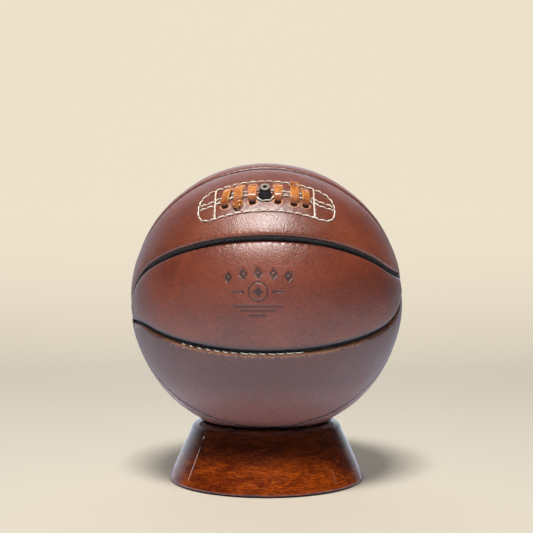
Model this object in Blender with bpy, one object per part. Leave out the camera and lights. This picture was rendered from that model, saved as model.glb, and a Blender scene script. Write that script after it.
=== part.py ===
"""A hand-laced leather basketball resting in a turned wooden stand.

Eight leather gores run from end to end along X. Their edges turn in, and a black welt is sewn between
each pair. At each end the gores meet along a short ridge, and the two ridges are at right angles. One
gore has a laced opening, through which the bladder's valve stem stands out. The stand is a turned
cone with a dished seat. +Z is up, -Y is the front, and the origin is the centre of the underside.

Sizes are in millimetres and angles in degrees, unless a name says otherwise.
"""

import math

import bmesh
import bpy
from mathutils import Vector

MM = 0.001

# Ball
BALL_R = 120.0
BALL_CENTRE_HEIGHT = 159.1
GORES = 8
FRONT_TURN = 4.0  # the front gore's centre line, turned up from -Y about X
LEATHER = 2.6
GAP = 0.3

# Seams: the straight middle follows a meridian, and the last stretch bends to the ridge
STRAIGHT_ANGLE = 55.0
STRAIGHT_SHARE = 0.61
CAP_REACH = BALL_R * math.radians(90.0 - STRAIGHT_ANGLE)
CAP_LEAD = 20.0
RIDGE_LEAD = 14.0
RIDGE_HALF = 28.0
RIDGE_INNER = 12.0
RIDGE_TURN = {1: FRONT_TURN + 45.0, -1: FRONT_TURN - 45.0}
TIP_BEND = 38.0
MIDDLE_BEND = 80.0
WIDEST = 1.0 / 0.35  # the most that a slanting seam widens an edge
SECTIONS = (0.0, 0.15, 0.3, 0.45, 0.61, 0.72, 0.82, 0.91)

# Turned-in edges of a gore
EDGE_OFFSET = 3.0
EDGE_DROP = 3.2
DROP_REACH = 3.6
FLANGE_R = 113.4
FLANGE_OFFSET = 1.2
FLANGE_THICKNESS = 1.4
SHOULDER = 4.0
SHOULDER_SHARE = 0.3
FLANK_SHARE = 0.47
LEAST_HALF = 1.6

# Welt between two gores
WELT_HALF = 2.3
WELT_FOOT_HALF = 0.7
WELT_FOOT_R = 113.6
WELT_SHOULDER_R = BALL_R - 3.5
WELT_CROWN_R = BALL_R - 1.7
TIP_CLEARANCE = 5.0
MIDDLE_CLEARANCE = 3.4

# Layers under the leather, as outer radii at the laced opening
LINING = 1.0
LINING_GLUE = 0.45
LINING_EDGE_DROP = 2.1
LINING_LEAST_HALF = 7.0
PATCH_OUTER_R = 114.2
PATCH = 1.2
PATCH_MARGIN = 3.0
TONGUE_OUTER_R = 110.0
TONGUE = 1.3
TONGUE_HALF_LENGTH = 46.0
TONGUE_HALF_WIDTH = 14.5
TONGUE_STRAIGHT = 34.0
BLADDER_R = 111.8
BLADDER = 1.1
BLADDER_DENT = 6.2
DENT_ALONG = 70.0
DENT_ACROSS = 36.0

# Laced opening: along X from the middle, and across, up and back from its centre line
LACE_TURN = 47.0
OPENING_HALF_LENGTH = 57.4
OPENING_HALF_WIDTH = 18.2
OPENING_STRAIGHT = 40.0
OPENING_RAISE = 0.75
OPENING_SAG = 2.7  # how far the opening's ends hang below its middle, at OPENING_STRAIGHT
SLIT_ACROSS = 2.1
SLIT_SAG = 4.9
SLIT_SAG_START = 24.0
SLIT_SAG_END = 48.0
SLIT_WIDTH = 1.2
SLIT_ENDS = (-39.0, 36.0)
ROW_OFFSET = 2.6
LOWER_ROW_BOW = 7.4  # the rows bow out round the valve's stem
UPPER_ROW_BOW = 1.6
BOW_REACH = 7.2
BAR_PLACES = {"left": -42.2, "right": 39.0}
THREAD_R = 0.6
THREAD_HEIGHT = THREAD_R + 0.35
BAR_HEIGHT = THREAD_HEIGHT + 2 * THREAD_R + GAP

# The lace's bridges over the slit, as (lower hole, upper hole), each (along, across)
BRIDGES = (
    ((-34.0, -8.6), (-31.0, 11.6)),
    ((-22.6, -8.8), (-21.8, 13.0)),
    ((-11.4, -7.6), (-11.0, 12.0)),
    ((9.1, -7.5), (9.3, 12.3)),
    ((22.2, -8.5), (22.4, 14.0)),
    ((31.9, -8.3), (31.0, 10.6)),
)
LACE_HOLE_R = 3.0
LACE_WIDTH = 6.8
LACE_NECK = 3.6
LACE_THICKNESS = 1.8
LACE_INSIDE_THICKNESS = 1.3
LACE_RISE = 3.2
LACE_INSIDE_R = 111.6
LACE_HUG = 0.8  # the thong leans on the side of each hole nearer the slit
LACE_LAP = 1.3

# Valve, along its own axis from the ball's centre
VALVE_ALONG = -1.2
VALVE_ACROSS = -0.8
STEM_R = 4.9
STEM_TOP_R = 4.4
STEM_BORE_R = 3.1
STEM_BOTTOM = 105.8
STEM_TOP = BALL_R + 7.7
VALVE_HOLE_R = 5.8
NECK_R = STEM_R + GAP
PLUG_R = 4.2
PLUG_SHANK_R = 2.8
PLUG_HEAD = 1.7
PLUG_LENGTH = 11.0
NEEDLE_R = 1.2
CORE_LENGTH = 9.0
FLANGE_DISC_R = 15.0

# Stand
STAND_BASE_R = 86.0
STAND_RIM_R = 66.5
STAND_RIM_HEIGHT = 45.1
STAND_CREST_R = 58.5
STAND_CREST_HEIGHT = 51.8
SEAT_R = 53.0
SEAT_CLEARANCE = 0.35
STAND_EDGE_R = 1.6
FELT_R = 84.0
FELT = 1.0
TURNED_SEGMENTS = 48

GORE_NAMES = (
    "front", "lace", "top", "upper_back", "back", "lower_back", "bottom", "lower_front",
)


# Directions and seams ------------------------------------------------------------------------------


def direction(along, turn):
    """Unit vector at an angle `along` from the middle towards +X, turned up from -Y about X."""
    tilt = math.radians(along)
    spin = math.radians(turn)
    return Vector((
        math.sin(tilt),
        -math.cos(tilt) * math.cos(spin),
        math.cos(tilt) * math.sin(spin),
    ))


def flat(turn):
    """Unit vector in the plane that unrolls the cap round an end of the ball."""
    return Vector((math.cos(math.radians(turn)), math.sin(math.radians(turn))))


def cap_direction(side, offset):
    """Unit vector for a point of the unrolled cap, given in millimetres from the end of the axis."""
    turn = math.degrees(math.atan2(offset.y, offset.x))
    return direction(side * (90.0 - math.degrees(offset.length / BALL_R)), turn)


def seam_turn(index):
    return FRONT_TURN + 360.0 / GORES * (index - 0.5)


def seam_landing(index, side):
    """Where a seam meets the ridge, as (end point, end direction) in the unrolled cap."""
    relative = math.radians(seam_turn(index) - RIDGE_TURN[side])
    along_ridge = math.copysign(1.0, math.cos(relative))
    beside_ridge = math.copysign(1.0, math.sin(relative))
    at_tip = abs(math.cos(relative)) > math.cos(math.radians(45.0))
    reach = RIDGE_HALF if at_tip else RIDGE_INNER
    bend = math.radians(TIP_BEND if at_tip else MIDDLE_BEND)
    ridge = flat(RIDGE_TURN[side])
    beside = flat(RIDGE_TURN[side] + 90.0)
    heading = ridge * math.cos(bend) * along_ridge + beside * math.sin(bend) * beside_ridge
    return ridge * reach * along_ridge, heading


def bezier(points, t):
    while len(points) > 1:
        points = [a.lerp(b, t) for a, b in zip(points, points[1:])]
    return points[0]


def seam_direction(index, u):
    """Unit vector on a seam, with u from -1 at the ridge on the left to 1 at the ridge on the right."""
    side = 1 if u >= 0 else -1
    share = abs(u)
    if share <= STRAIGHT_SHARE:
        return direction(side * STRAIGHT_ANGLE * share / STRAIGHT_SHARE, seam_turn(index))
    outward = flat(seam_turn(index))
    end, heading = seam_landing(index, side)
    control = [
        outward * CAP_REACH, outward * (CAP_REACH - CAP_LEAD), end + heading * RIDGE_LEAD, end,
    ]
    return cap_direction(side, bezier(control, (share - STRAIGHT_SHARE) / (1.0 - STRAIGHT_SHARE)))


def seam_frame(index, u):
    """(place, sideways) as unit vectors on a seam."""
    step = 0.004
    ahead = seam_direction(index, min(u + step, 1.0)) - seam_direction(index, max(u - step, -1.0))
    place = seam_direction(index, u)
    return place, place.cross(ahead).normalized()


def ridge_distance(place, side):
    """Distance in millimetres from a unit vector to the ridge on one side."""
    reach = BALL_R * math.acos(max(-1.0, min(1.0, side * place.x)))
    turn = math.degrees(math.atan2(place.z, -place.y))
    offset = flat(turn) * reach
    ridge = flat(RIDGE_TURN[side])
    inside = max(-RIDGE_HALF, min(RIDGE_HALF, offset.dot(ridge)))
    return (offset - ridge * inside).length


def last_u(fits):
    """The largest u, by halving, at which `fits` still holds."""
    low, high = 0.7, 1.0
    for _ in range(30):
        middle = (low + high) / 2.0
        low, high = (middle, high) if fits(middle) else (low, middle)
    return low


def stations(left_end, right_end):
    """The values of u of a body's sections, shared by all bodies apart from the two end values."""
    inner = sorted({-u for u in SECTIONS} | set(SECTIONS))
    kept = [u for u in inner if 0.02 - left_end < u < right_end - 0.02]
    return [-left_end, *kept, right_end]


# Meshes --------------------------------------------------------------------------------------------


def finish(name, bm, material, parent):
    bmesh.ops.recalc_face_normals(bm, faces=bm.faces)
    mesh = bpy.data.meshes.new(name)
    bm.to_mesh(mesh)
    bm.free()
    mesh.shade_smooth()
    mesh.set_sharp_from_angle(angle=math.radians(40.0))
    mesh.materials.append(material)
    body = bpy.data.objects.new(name, mesh)
    bpy.context.scene.collection.objects.link(body)
    body.parent = parent
    return body


def loft(name, rings, material, parent):
    """A closed body through rings of equal length, with its first and last rings filled."""
    bm = bmesh.new()
    rows = [[bm.verts.new(point * MM) for point in ring] for ring in rings]
    for row, following in zip(rows, rows[1:]):
        for corner in range(len(row)):
            after = (corner + 1) % len(row)
            bm.faces.new((row[corner], row[after], following[after], following[corner]))
    bm.faces.new(rows[0])
    bm.faces.new(rows[-1])
    return finish(name, bm, material, parent)


def turned(name, profile, segments, material, parent):
    """A body turned about Z from a profile of (radius, height)."""
    bm = bmesh.new()
    points = [bm.verts.new((radius * MM, 0.0, height * MM)) for radius, height in profile]
    edges = [bm.edges.new(pair) for pair in zip(points, points[1:])]
    if profile[0][0] > 0.0:
        edges.append(bm.edges.new((points[-1], points[0])))
    bmesh.ops.spin(
        bm, geom=points + edges, cent=(0, 0, 0), axis=(0, 0, 1), angle=2.0 * math.pi, steps=segments,
    )
    bmesh.ops.remove_doubles(bm, verts=bm.verts, dist=1e-7)
    return finish(name, bm, material, parent)


def thread(name, points, closed, material, parent):
    curve = bpy.data.curves.new(name, "CURVE")
    curve.dimensions = "3D"
    curve.bevel_depth = THREAD_R * MM
    curve.bevel_resolution = 0
    curve.use_fill_caps = True
    spline = curve.splines.new("POLY")
    spline.points.add(len(points) - 1)
    for target, point in zip(spline.points, points):
        target.co = (*(point * MM), 1.0)
    spline.use_cyclic_u = closed
    curve.materials.append(material)
    body = bpy.data.objects.new(name, curve)
    bpy.context.scene.collection.objects.link(body)
    body.parent = parent
    return body


def cut(body, cutter):
    cutter.hide_render = True
    cutter.display_type = "WIRE"
    modifier = body.modifiers.new(cutter.name, "BOOLEAN")
    modifier.operation = "DIFFERENCE"
    modifier.solver = "EXACT"
    modifier.object = cutter


def material(name, color, roughness, metallic=0.0):
    made = bpy.data.materials.new(name)
    made.use_nodes = True
    shader = made.node_tree.nodes["Principled BSDF"]
    shader.inputs["Base Color"].default_value = (*color, 1.0)
    shader.inputs["Roughness"].default_value = roughness
    shader.inputs["Metallic"].default_value = metallic
    made.diffuse_color = (*color, 1.0)
    return made


# Gores, linings and welts --------------------------------------------------------------------------


class Gore:
    """The strip of the sphere between seam `index` and the next one."""

    def __init__(self, index):
        self.index = index

    def section(self, u):
        """(first seam, second seam, width, widening at each) of the gore at u."""
        first, first_side = seam_frame(self.index, u)
        second, second_side = seam_frame(self.index + 1, u)
        width = BALL_R * first.angle(second)
        chord = (second - first).normalized()
        widening = [
            min(WIDEST, 1.0 / abs(chord.dot(side))) for side in (first_side, second_side)
        ]
        return first, second, width, widening

    def free_half(self, u):
        _, _, width, widening = self.section(u)
        return (width - EDGE_OFFSET * sum(widening)) / 2.0

    def ends(self):
        def fits(side):
            def test(share):
                u = side * share
                first, second, _, _ = self.section(u)
                places = [first.slerp(second, step / 8.0) for step in range(1, 8)]
                clear = min(ridge_distance(place, side) for place in places) > EDGE_OFFSET
                return clear and self.free_half(u) > LEAST_HALF
            return test
        return last_u(fits(-1)), last_u(fits(1))

    def stations(self):
        return stations(*self.ends())

    def points(self, u, columns):
        """Points of a section. A column is (side, millimetres in from the edge, depth)."""
        first, second, width, widening = self.section(u)
        side_of_end = 1 if u >= 0 else -1
        middle = first.slerp(second, 0.5)
        end_drop = drop(max(0.0, ridge_distance(middle, side_of_end) - EDGE_OFFSET))
        found = []
        for side, inward, depth, sunk in columns:
            offset = EDGE_OFFSET * widening[side] + inward
            share = offset / width if side == 0 else 1.0 - offset / width
            radius = BALL_R - depth - (max(drop(max(0.0, inward)), end_drop) if sunk else 0.0)
            found.append(first.slerp(second, share) * radius)
        return found


def drop(inward):
    """How far the leather's face lies below the ball's radius, at a distance in from the gore's edge."""
    return EDGE_DROP * math.exp(-inward / DROP_REACH)


def gore_columns(half):
    """The outline of a gore's section: the outer face, then the inner face on the way back."""
    shoulder = min(SHOULDER, SHOULDER_SHARE * half)
    flank = FLANK_SHARE * half
    flange_depth = BALL_R - FLANGE_R
    root = min(FLANGE_THICKNESS, 0.45 * half)
    foot = FLANGE_OFFSET - EDGE_OFFSET
    outer = [
        (0, foot, flange_depth, False), (0, 0.0, 0.0, True), (0, shoulder, 0.0, True),
        (0, flank, 0.0, True),
    ]
    inner = [
        (0, flank, LEATHER, True), (0, root, EDGE_DROP + LEATHER, False),
        (0, foot + root, flange_depth, False),
    ]
    other_outer = [(1, *column[1:]) for column in reversed(outer)]
    other_inner = [(1, *column[1:]) for column in reversed(inner)]
    middle = (0, half, 0.0, True)
    inner_middle = (0, half, LEATHER, True)
    return [*outer, middle, *other_outer, *other_inner, inner_middle, *inner]


def make_gore(index, leather, parent):
    gore = Gore(index)
    rings = [gore.points(u, gore_columns(gore.free_half(u))) for u in gore.stations()]
    return loft(f"panel_{GORE_NAMES[index]}", rings, leather, parent)


def lining_columns(half):
    top = LEATHER + LINING_GLUE
    edge = SHOULDER_SHARE * half
    flank = FLANK_SHARE * half
    places = [
        (0, edge, LINING_EDGE_DROP, False), (0, flank, 0.0, True), (0, half, 0.0, True),
        (1, flank, 0.0, True), (1, edge, LINING_EDGE_DROP, False),
    ]
    outer = [(side, inward, depth + top, sunk) for side, inward, depth, sunk in places]
    inner = [(side, inward, depth + LINING, sunk) for side, inward, depth, sunk in reversed(outer)]
    return outer + inner


def make_lining(index, cloth, parent):
    gore = Gore(index)
    inner_stations = [u for u in gore.stations()[1:-1] if gore.free_half(u) > LINING_LEAST_HALF]
    rings = [gore.points(u, lining_columns(gore.free_half(u))) for u in inner_stations]
    return loft(f"lining_{GORE_NAMES[index]}", rings, cloth, parent)


def welt_ring(place, sideways):
    corners = (
        (-WELT_FOOT_HALF, WELT_FOOT_R), (-WELT_HALF, WELT_SHOULDER_R), (0.0, WELT_CROWN_R),
        (WELT_HALF, WELT_SHOULDER_R), (WELT_FOOT_HALF, WELT_FOOT_R),
    )
    return [place * radius + sideways * beside for beside, radius in corners]


def make_welt(index, rubber, parent):
    def clearance(side):
        relative = math.radians(seam_turn(index) - RIDGE_TURN[side])
        at_tip = abs(math.cos(relative)) > math.cos(math.radians(45.0))
        return TIP_CLEARANCE if at_tip else MIDDLE_CLEARANCE

    def fits(side):
        return lambda u: ridge_distance(seam_direction(index, side * u), side) > clearance(side)

    rings = [
        welt_ring(*seam_frame(index, u)) for u in stations(last_u(fits(-1)), last_u(fits(1)))
    ]
    names = (GORE_NAMES[index - 1], GORE_NAMES[index])
    return loft(f"welt_{names[0]}_to_{names[1]}", rings, rubber, parent)


def make_end_welt(name, side, rubber, parent):
    """The welt along the ridge where the gores meet at one end."""
    ridge = flat(RIDGE_TURN[side])
    turn = math.radians(RIDGE_TURN[side])
    sideways = Vector((0.0, math.sin(turn), math.cos(turn)))
    steps = 8
    rings = []
    for step in range(steps + 1):
        offset = ridge * (RIDGE_HALF * (2.0 * step / steps - 1.0))
        rings.append(welt_ring(cap_direction(side, offset), sideways))
    return loft(f"end_welt_{name}", rings, rubber, parent)


# Laced opening -------------------------------------------------------------------------------------


def lace_point(along, across, height=0.0):
    turn = LACE_TURN + math.degrees(across / BALL_R)
    return direction(math.degrees(along / BALL_R), turn) * (BALL_R + height)


def opening_width(along, length, width, straight):
    """Half width of a form with straight sides and rounded ends."""
    beyond = max(0.0, abs(along) - straight) / (length - straight)
    return width * math.sqrt(max(0.0, 1.0 - beyond ** 2))


def plate(name, length, width, straight, outer_r, thickness, skin, parent):
    """A thin plate with rounded ends that follows the ball under the laced opening."""
    ends = [length * share for share in (0.995, 0.93, 0.84)]
    inner = [straight * share for share in (1.0, 0.8, 0.6, 0.4, 0.2)]
    places = sorted({-place for place in ends + inner} | set(ends + inner) | {0.0})
    rings = []
    for along in places:
        half = opening_width(along, length, width, straight)
        row = [half * share for share in (-1.0, -0.5, 0.0, 0.5, 1.0)]
        outer = [lace_point(along, across, outer_r - BALL_R) for across in row]
        under = [
            lace_point(along, across, outer_r - thickness - BALL_R) for across in reversed(row)
        ]
        rings.append(outer + under)
    return loft(name, rings, skin, parent)


def aim(obj, along, across, distance):
    """Places an object on the ray through a point of the opening, with its Z axis along the ray."""
    place = lace_point(along, across).normalized()
    obj.location = place * distance * MM
    obj.rotation_mode = "QUATERNION"
    obj.rotation_quaternion = place.to_track_quat("Z", "Y")


def round_cutter(name, place, radius, skin, parent, sides=8):
    """A post through all the layers at a place of the opening."""
    bm = bmesh.new()
    bmesh.ops.create_cone(
        bm, cap_ends=True, segments=sides, radius1=radius * MM, radius2=radius * MM, depth=20 * MM,
    )
    cutter = finish(name, bm, skin, parent)
    aim(cutter, *place, BALL_R - 3.0)
    return cutter


def slit_across(along):
    """The slit's line, which sags towards its ends."""
    share = (abs(along) - SLIT_SAG_START) / (SLIT_SAG_END - SLIT_SAG_START)
    share = max(0.0, min(1.0, share))
    return SLIT_ACROSS - SLIT_SAG * share * share * (3.0 - 2.0 * share)


def slit_cutter(skin, parent):
    """A thin bent wall through the leather, along the slit."""
    half = SLIT_WIDTH / 2.0
    top, foot = 3.0, -9.0
    steps = 12
    rings = []
    for step in range(steps + 1):
        along = SLIT_ENDS[0] + (SLIT_ENDS[1] - SLIT_ENDS[0]) * step / steps
        middle = slit_across(along)
        rings.append([
            lace_point(along, middle - half, top), lace_point(along, middle + half, top),
            lace_point(along, middle + half, foot), lace_point(along, middle - half, foot),
        ])
    return loft("slit_cutter", rings, skin, parent)


def pierce(bodies, skin, parent):
    """Cuts the twelve lace holes, the slit and the valve's hole through the layers of the opening."""
    valve_place = (VALVE_ALONG, VALVE_ACROSS)
    cutters = [round_cutter("valve_cutter", valve_place, VALVE_HOLE_R, skin, parent, 16)]
    for number, holes in enumerate(BRIDGES):
        for row, place in zip(("lower", "upper"), holes):
            name = f"lace_cutter_{row}_{number}"
            cutters.append(round_cutter(name, place, LACE_HOLE_R, skin, parent))
    cutters.append(slit_cutter(skin, parent))
    for body in bodies:
        for cutter in cutters:
            cut(body, cutter)


def opening_middle(along):
    """The middle of the sewn outline, which sags towards its ends."""
    return OPENING_RAISE - OPENING_SAG * (along / OPENING_STRAIGHT) ** 2


def outline_points():
    """The sewn outline round the opening, as a loop from its left tip over the top and back."""
    side_steps, end_steps = 8, 6
    end_length = OPENING_HALF_LENGTH - OPENING_STRAIGHT
    quarter = [(OPENING_STRAIGHT * step / side_steps, OPENING_HALF_WIDTH) for step in range(side_steps)]
    for step in range(end_steps + 1):
        angle = math.pi / 2.0 * step / end_steps
        along = OPENING_STRAIGHT + end_length * math.sin(angle) ** (2.0 / 3.0)
        quarter.append((along, OPENING_HALF_WIDTH * max(0.0, math.cos(angle)) ** 0.8))
    upper = [(-along, half) for along, half in reversed(quarter)] + quarter[1:]
    lower = [(along, -half) for along, half in reversed(upper)]
    return [(along, opening_middle(along) + half) for along, half in upper + lower[1:-1]]


def row_across(along, side):
    """A row of stitches beside the slit, which bows out round the valve's stem."""
    bow = LOWER_ROW_BOW if side < 0.0 else UPPER_ROW_BOW
    bow *= math.exp(-(abs((along - VALVE_ALONG) / BOW_REACH) ** 3))
    return slit_across(along) + side * (ROW_OFFSET + bow)


def make_threads(cotton, parent):
    outline = [lace_point(along, across, THREAD_HEIGHT) for along, across in outline_points()]
    thread("outline_stitching", outline, True, cotton, parent)
    reach = OPENING_HALF_LENGTH - 2.5
    for name, side in (("lower", -1.0), ("upper", 1.0)):
        places = [reach * (step / 14.0 - 1.0) for step in range(29)]
        row = [lace_point(along, row_across(along, side), THREAD_HEIGHT) for along in places]
        thread(f"slit_stitching_{name}", row, False, cotton, parent)
    for name, along in BAR_PLACES.items():
        middle = opening_middle(along)
        places = [middle + OPENING_HALF_WIDTH * (step / 3.0 - 1.0) for step in range(7)]
        bar = [lace_point(along, across, BAR_HEIGHT) for across in places]
        thread(f"bar_stitching_{name}", bar, False, cotton, parent)


def lace_route(number):
    """Points on the inside between one bridge's lower hole and the upper hole of bridge `number`."""
    lower, upper = BRIDGES[number]
    if number == 0:
        return [(upper[0] - 1.5, upper[1] - 9.0)]
    before = BRIDGES[number - 1][0]
    if before[0] < VALVE_ALONG < upper[0]:
        return [(before[0] + 0.8, VALVE_ACROSS + 2.0), (VALVE_ALONG - 2.3, VALVE_ACROSS + 11.3)]
    return [((before[0] + upper[0]) / 2.0, (before[1] + upper[1]) / 2.0)]


def lace_path():
    """The thong's centre line, as (point, width, thickness), from its first tail to its last."""
    inside = LACE_INSIDE_R - BALL_R
    path = []

    def add(along, across, height, width, thickness=LACE_THICKNESS):
        path.append((lace_point(along, across, height), width, thickness))

    for number, (lower, upper) in enumerate(BRIDGES):
        top = upper[1] - LACE_HUG
        bottom = lower[1] + LACE_HUG
        for place in lace_route(number):
            add(*place, inside, LACE_NECK, LACE_INSIDE_THICKNESS)
        add(upper[0], top - 0.6, inside, LACE_NECK, LACE_INSIDE_THICKNESS)
        add(upper[0], top, inside + 1.2, LACE_NECK)
        add(upper[0], top, 0.5, LACE_NECK)
        add(upper[0], top - LACE_LAP, LACE_RISE - 0.5, LACE_WIDTH - 1.2)
        for share in (0.2, 0.5, 0.8):
            along = upper[0] + (lower[0] - upper[0]) * share
            add(along, top + (bottom - top) * share, LACE_RISE, LACE_WIDTH)
        add(lower[0], bottom + LACE_LAP, LACE_RISE - 0.5, LACE_WIDTH - 1.2)
        add(lower[0], bottom, 0.5, LACE_NECK)
        add(lower[0], bottom, inside + 1.2, LACE_NECK)
        add(lower[0], bottom + 0.6, inside, LACE_NECK, LACE_INSIDE_THICKNESS)
    last = BRIDGES[-1][0]
    add(last[0] + 1.5, last[1] + 9.0, inside, LACE_NECK, LACE_INSIDE_THICKNESS)
    return path


def make_lace(thong, parent):
    path = lace_path()
    rings = []
    for number, (place, width, thickness) in enumerate(path):
        before = path[max(number - 1, 0)][0]
        after = path[min(number + 1, len(path) - 1)][0]
        heading = (after - before).normalized()
        wide = Vector((1.0, 0.0, 0.0))
        wide = (wide - heading * wide.dot(heading)).normalized()
        thick = heading.cross(wide)
        rings.append([
            place + wide * width / 2.0 * across + thick * thickness / 2.0 * up
            for across, up in ((-1, -1), (1, -1), (1, 1), (-1, 1))
        ])
    return loft("lace", rings, thong, parent)


# Bladder and valve ---------------------------------------------------------------------------------


def dent(place):
    """How far the bladder gives way under the laced opening."""
    along = BALL_R * math.asin(max(-1.0, min(1.0, place.x)))
    turn = math.degrees(math.atan2(place.z, -place.y)) - LACE_TURN
    across = math.radians((turn + 180.0) % 360.0 - 180.0) * BALL_R
    return BLADDER_DENT * math.exp(-((along / DENT_ALONG) ** 2) - (across / DENT_ACROSS) ** 2)


def make_bladder(rubber, axis):
    neck = math.degrees(math.asin(NECK_R / BLADDER_R))
    angles = [neck, 8.0, 14.0, 21.0, 30.0, 42.0, 56.0, 72.0, 90.0, 108.0, 126.0, 144.0, 162.0, 180.0]
    outer = [(angle, BLADDER_R) for angle in angles]
    inner = [(angle, BLADDER_R - BLADDER) for angle in reversed(angles)]
    profile = [
        (abs(radius * math.sin(math.radians(angle))), radius * math.cos(math.radians(angle)))
        for angle, radius in outer + inner
    ]
    profile = [(0.0 if radius < 1e-6 else radius, height) for radius, height in profile]
    body = turned("bladder", profile, 20, rubber, axis)
    turn_to_ball = axis.rotation_quaternion
    for vertex in body.data.vertices:
        place = (turn_to_ball @ vertex.co).normalized()
        vertex.co -= vertex.co.normalized() * dent(place) * MM
    return body


def make_valve(rubber, plug_skin, axis):
    """The reinforcing disc, stem, core and plug, all turned about the valve's axis."""
    seat = BLADDER_R - BLADDER_DENT + GAP
    turned("bladder_patch", [
        (NECK_R, seat + 0.1), (FLANGE_DISC_R, seat), (FLANGE_DISC_R, seat + 0.8),
        (NECK_R, seat + 1.4),
    ], 20, rubber, axis)
    turned("valve_stem", [
        (STEM_BORE_R, STEM_TOP), (STEM_TOP_R - 0.3, STEM_TOP), (STEM_TOP_R, STEM_TOP - 0.4),
        (STEM_R, BALL_R + 1.0), (STEM_R, STEM_BOTTOM), (STEM_BORE_R, STEM_BOTTOM),
    ], 20, rubber, axis)
    under_head = STEM_TOP + GAP
    top = under_head + PLUG_HEAD
    shank_end = top - PLUG_LENGTH
    turned("valve_plug", [
        (NEEDLE_R + 0.4, top), (PLUG_R - 0.5, top), (PLUG_R, top - 0.5), (PLUG_R, under_head),
        (PLUG_SHANK_R, under_head), (PLUG_SHANK_R, shank_end), (NEEDLE_R, shank_end),
        (NEEDLE_R, top - 0.5),
    ], 20, plug_skin, axis)
    core_top = shank_end - GAP
    turned("valve_core", [
        (0.0, core_top - 1.5), (NEEDLE_R, core_top), (PLUG_SHANK_R, core_top),
        (PLUG_SHANK_R, core_top - CORE_LENGTH + 3.0), (0.9, core_top - CORE_LENGTH),
        (0.0, core_top - CORE_LENGTH),
    ], 16, rubber, axis)


# Stand ---------------------------------------------------------------------------------------------


def arc(centre, radius, start, end, steps):
    angles = [math.radians(start + (end - start) * step / steps) for step in range(steps + 1)]
    return [
        (centre[0] + radius * math.cos(angle), centre[1] + radius * math.sin(angle))
        for angle in angles
    ]


def stand_profile():
    """From the middle of the dished seat, over the rim and down the cone to the underside."""
    bowl = BALL_R + SEAT_CLEARANCE
    seat = []
    for step in range(6):
        radius = SEAT_R * step / 5.0
        seat.append((radius, BALL_CENTRE_HEIGHT - math.sqrt(bowl ** 2 - radius ** 2)))
    crest = [(STAND_CREST_R - 3.0, STAND_CREST_HEIGHT - 0.3), (STAND_CREST_R, STAND_CREST_HEIGHT)]
    rim = [
        (STAND_CREST_R + 4.5, STAND_CREST_HEIGHT - 1.3), (STAND_RIM_R - 0.9, STAND_RIM_HEIGHT + 3.4),
        (STAND_RIM_R, STAND_RIM_HEIGHT),
    ]
    underside = FELT + GAP
    foot = arc(
        (STAND_BASE_R - STAND_EDGE_R, underside + STAND_EDGE_R), STAND_EDGE_R, 20.0, -90.0, 4,
    )
    return seat + crest + rim + foot + [(0.0, underside)]


def make_stand(wood, felt_skin):
    turned("stand", stand_profile(), TURNED_SEGMENTS, wood, None)
    turned("base_felt", [
        (0.0, FELT), (FELT_R, FELT), (FELT_R, 0.0), (0.0, 0.0),
    ], TURNED_SEGMENTS, felt_skin, None)


def main():
    for obj in list(bpy.data.objects):
        bpy.data.objects.remove(obj)

    leather = material("leather", (0.19, 0.045, 0.024), 0.42)
    welt_skin = material("welt_leather", (0.012, 0.011, 0.012), 0.55)
    cloth = material("lining_cloth", (0.55, 0.47, 0.34), 0.9)
    cotton = material("waxed_thread", (0.72, 0.62, 0.45), 0.7)
    thong = material("lace_leather", (0.5, 0.19, 0.04), 0.5)
    rubber = material("rubber", (0.016, 0.015, 0.015), 0.6)
    plug_skin = material("valve_plug", (0.22, 0.2, 0.17), 0.5)
    wood = material("polished_wood", (0.15, 0.035, 0.01), 0.14)
    felt_skin = material("felt", (0.03, 0.025, 0.02), 0.95)

    centre = bpy.data.objects.new("ball_centre", None)
    axis = bpy.data.objects.new("valve_axis", None)
    for empty in (centre, axis):
        bpy.context.scene.collection.objects.link(empty)
    centre.location = (0.0, 0.0, BALL_CENTRE_HEIGHT * MM)
    axis.parent = centre
    aim(axis, VALVE_ALONG, VALVE_ACROSS, 0.0)

    panels = [make_gore(index, leather, centre) for index in range(GORES)]
    linings = [make_lining(index, cloth, centre) for index in range(GORES)]
    for index in range(GORES):
        make_welt(index, welt_skin, centre)
    make_end_welt("left", -1, welt_skin, centre)
    make_end_welt("right", 1, welt_skin, centre)

    patch = plate(
        "opening_patch", OPENING_HALF_LENGTH + PATCH_MARGIN, OPENING_HALF_WIDTH + PATCH_MARGIN,
        OPENING_STRAIGHT, PATCH_OUTER_R, PATCH, leather, centre,
    )
    tongue = plate(
        "tongue", TONGUE_HALF_LENGTH, TONGUE_HALF_WIDTH, TONGUE_STRAIGHT, TONGUE_OUTER_R, TONGUE,
        thong, centre,
    )
    pierce([panels[1], linings[1], patch], leather, centre)
    valve_place = (VALVE_ALONG, VALVE_ACROSS)
    cut(tongue, round_cutter("tongue_cutter", valve_place, VALVE_HOLE_R, thong, centre, 16))
    make_threads(cotton, centre)
    make_lace(thong, centre)

    make_bladder(rubber, axis)
    make_valve(rubber, plug_skin, axis)
    make_stand(wood, felt_skin)


main()
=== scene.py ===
"""Looks of a hand-laced leather basketball resting in a turned wooden stand.

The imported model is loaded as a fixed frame. The leather gores, welts, stitching, lace, valve and
stand that show are rebuilt here as fine meshes in the places their CAD nodes hold. Sizes are in
millimetres from the ball's centre, and angles in degrees, unless a name says otherwise.
"""

import math
import random

import bmesh
import bpy
import numpy as np
from mathutils import Matrix, Vector, noise


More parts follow.
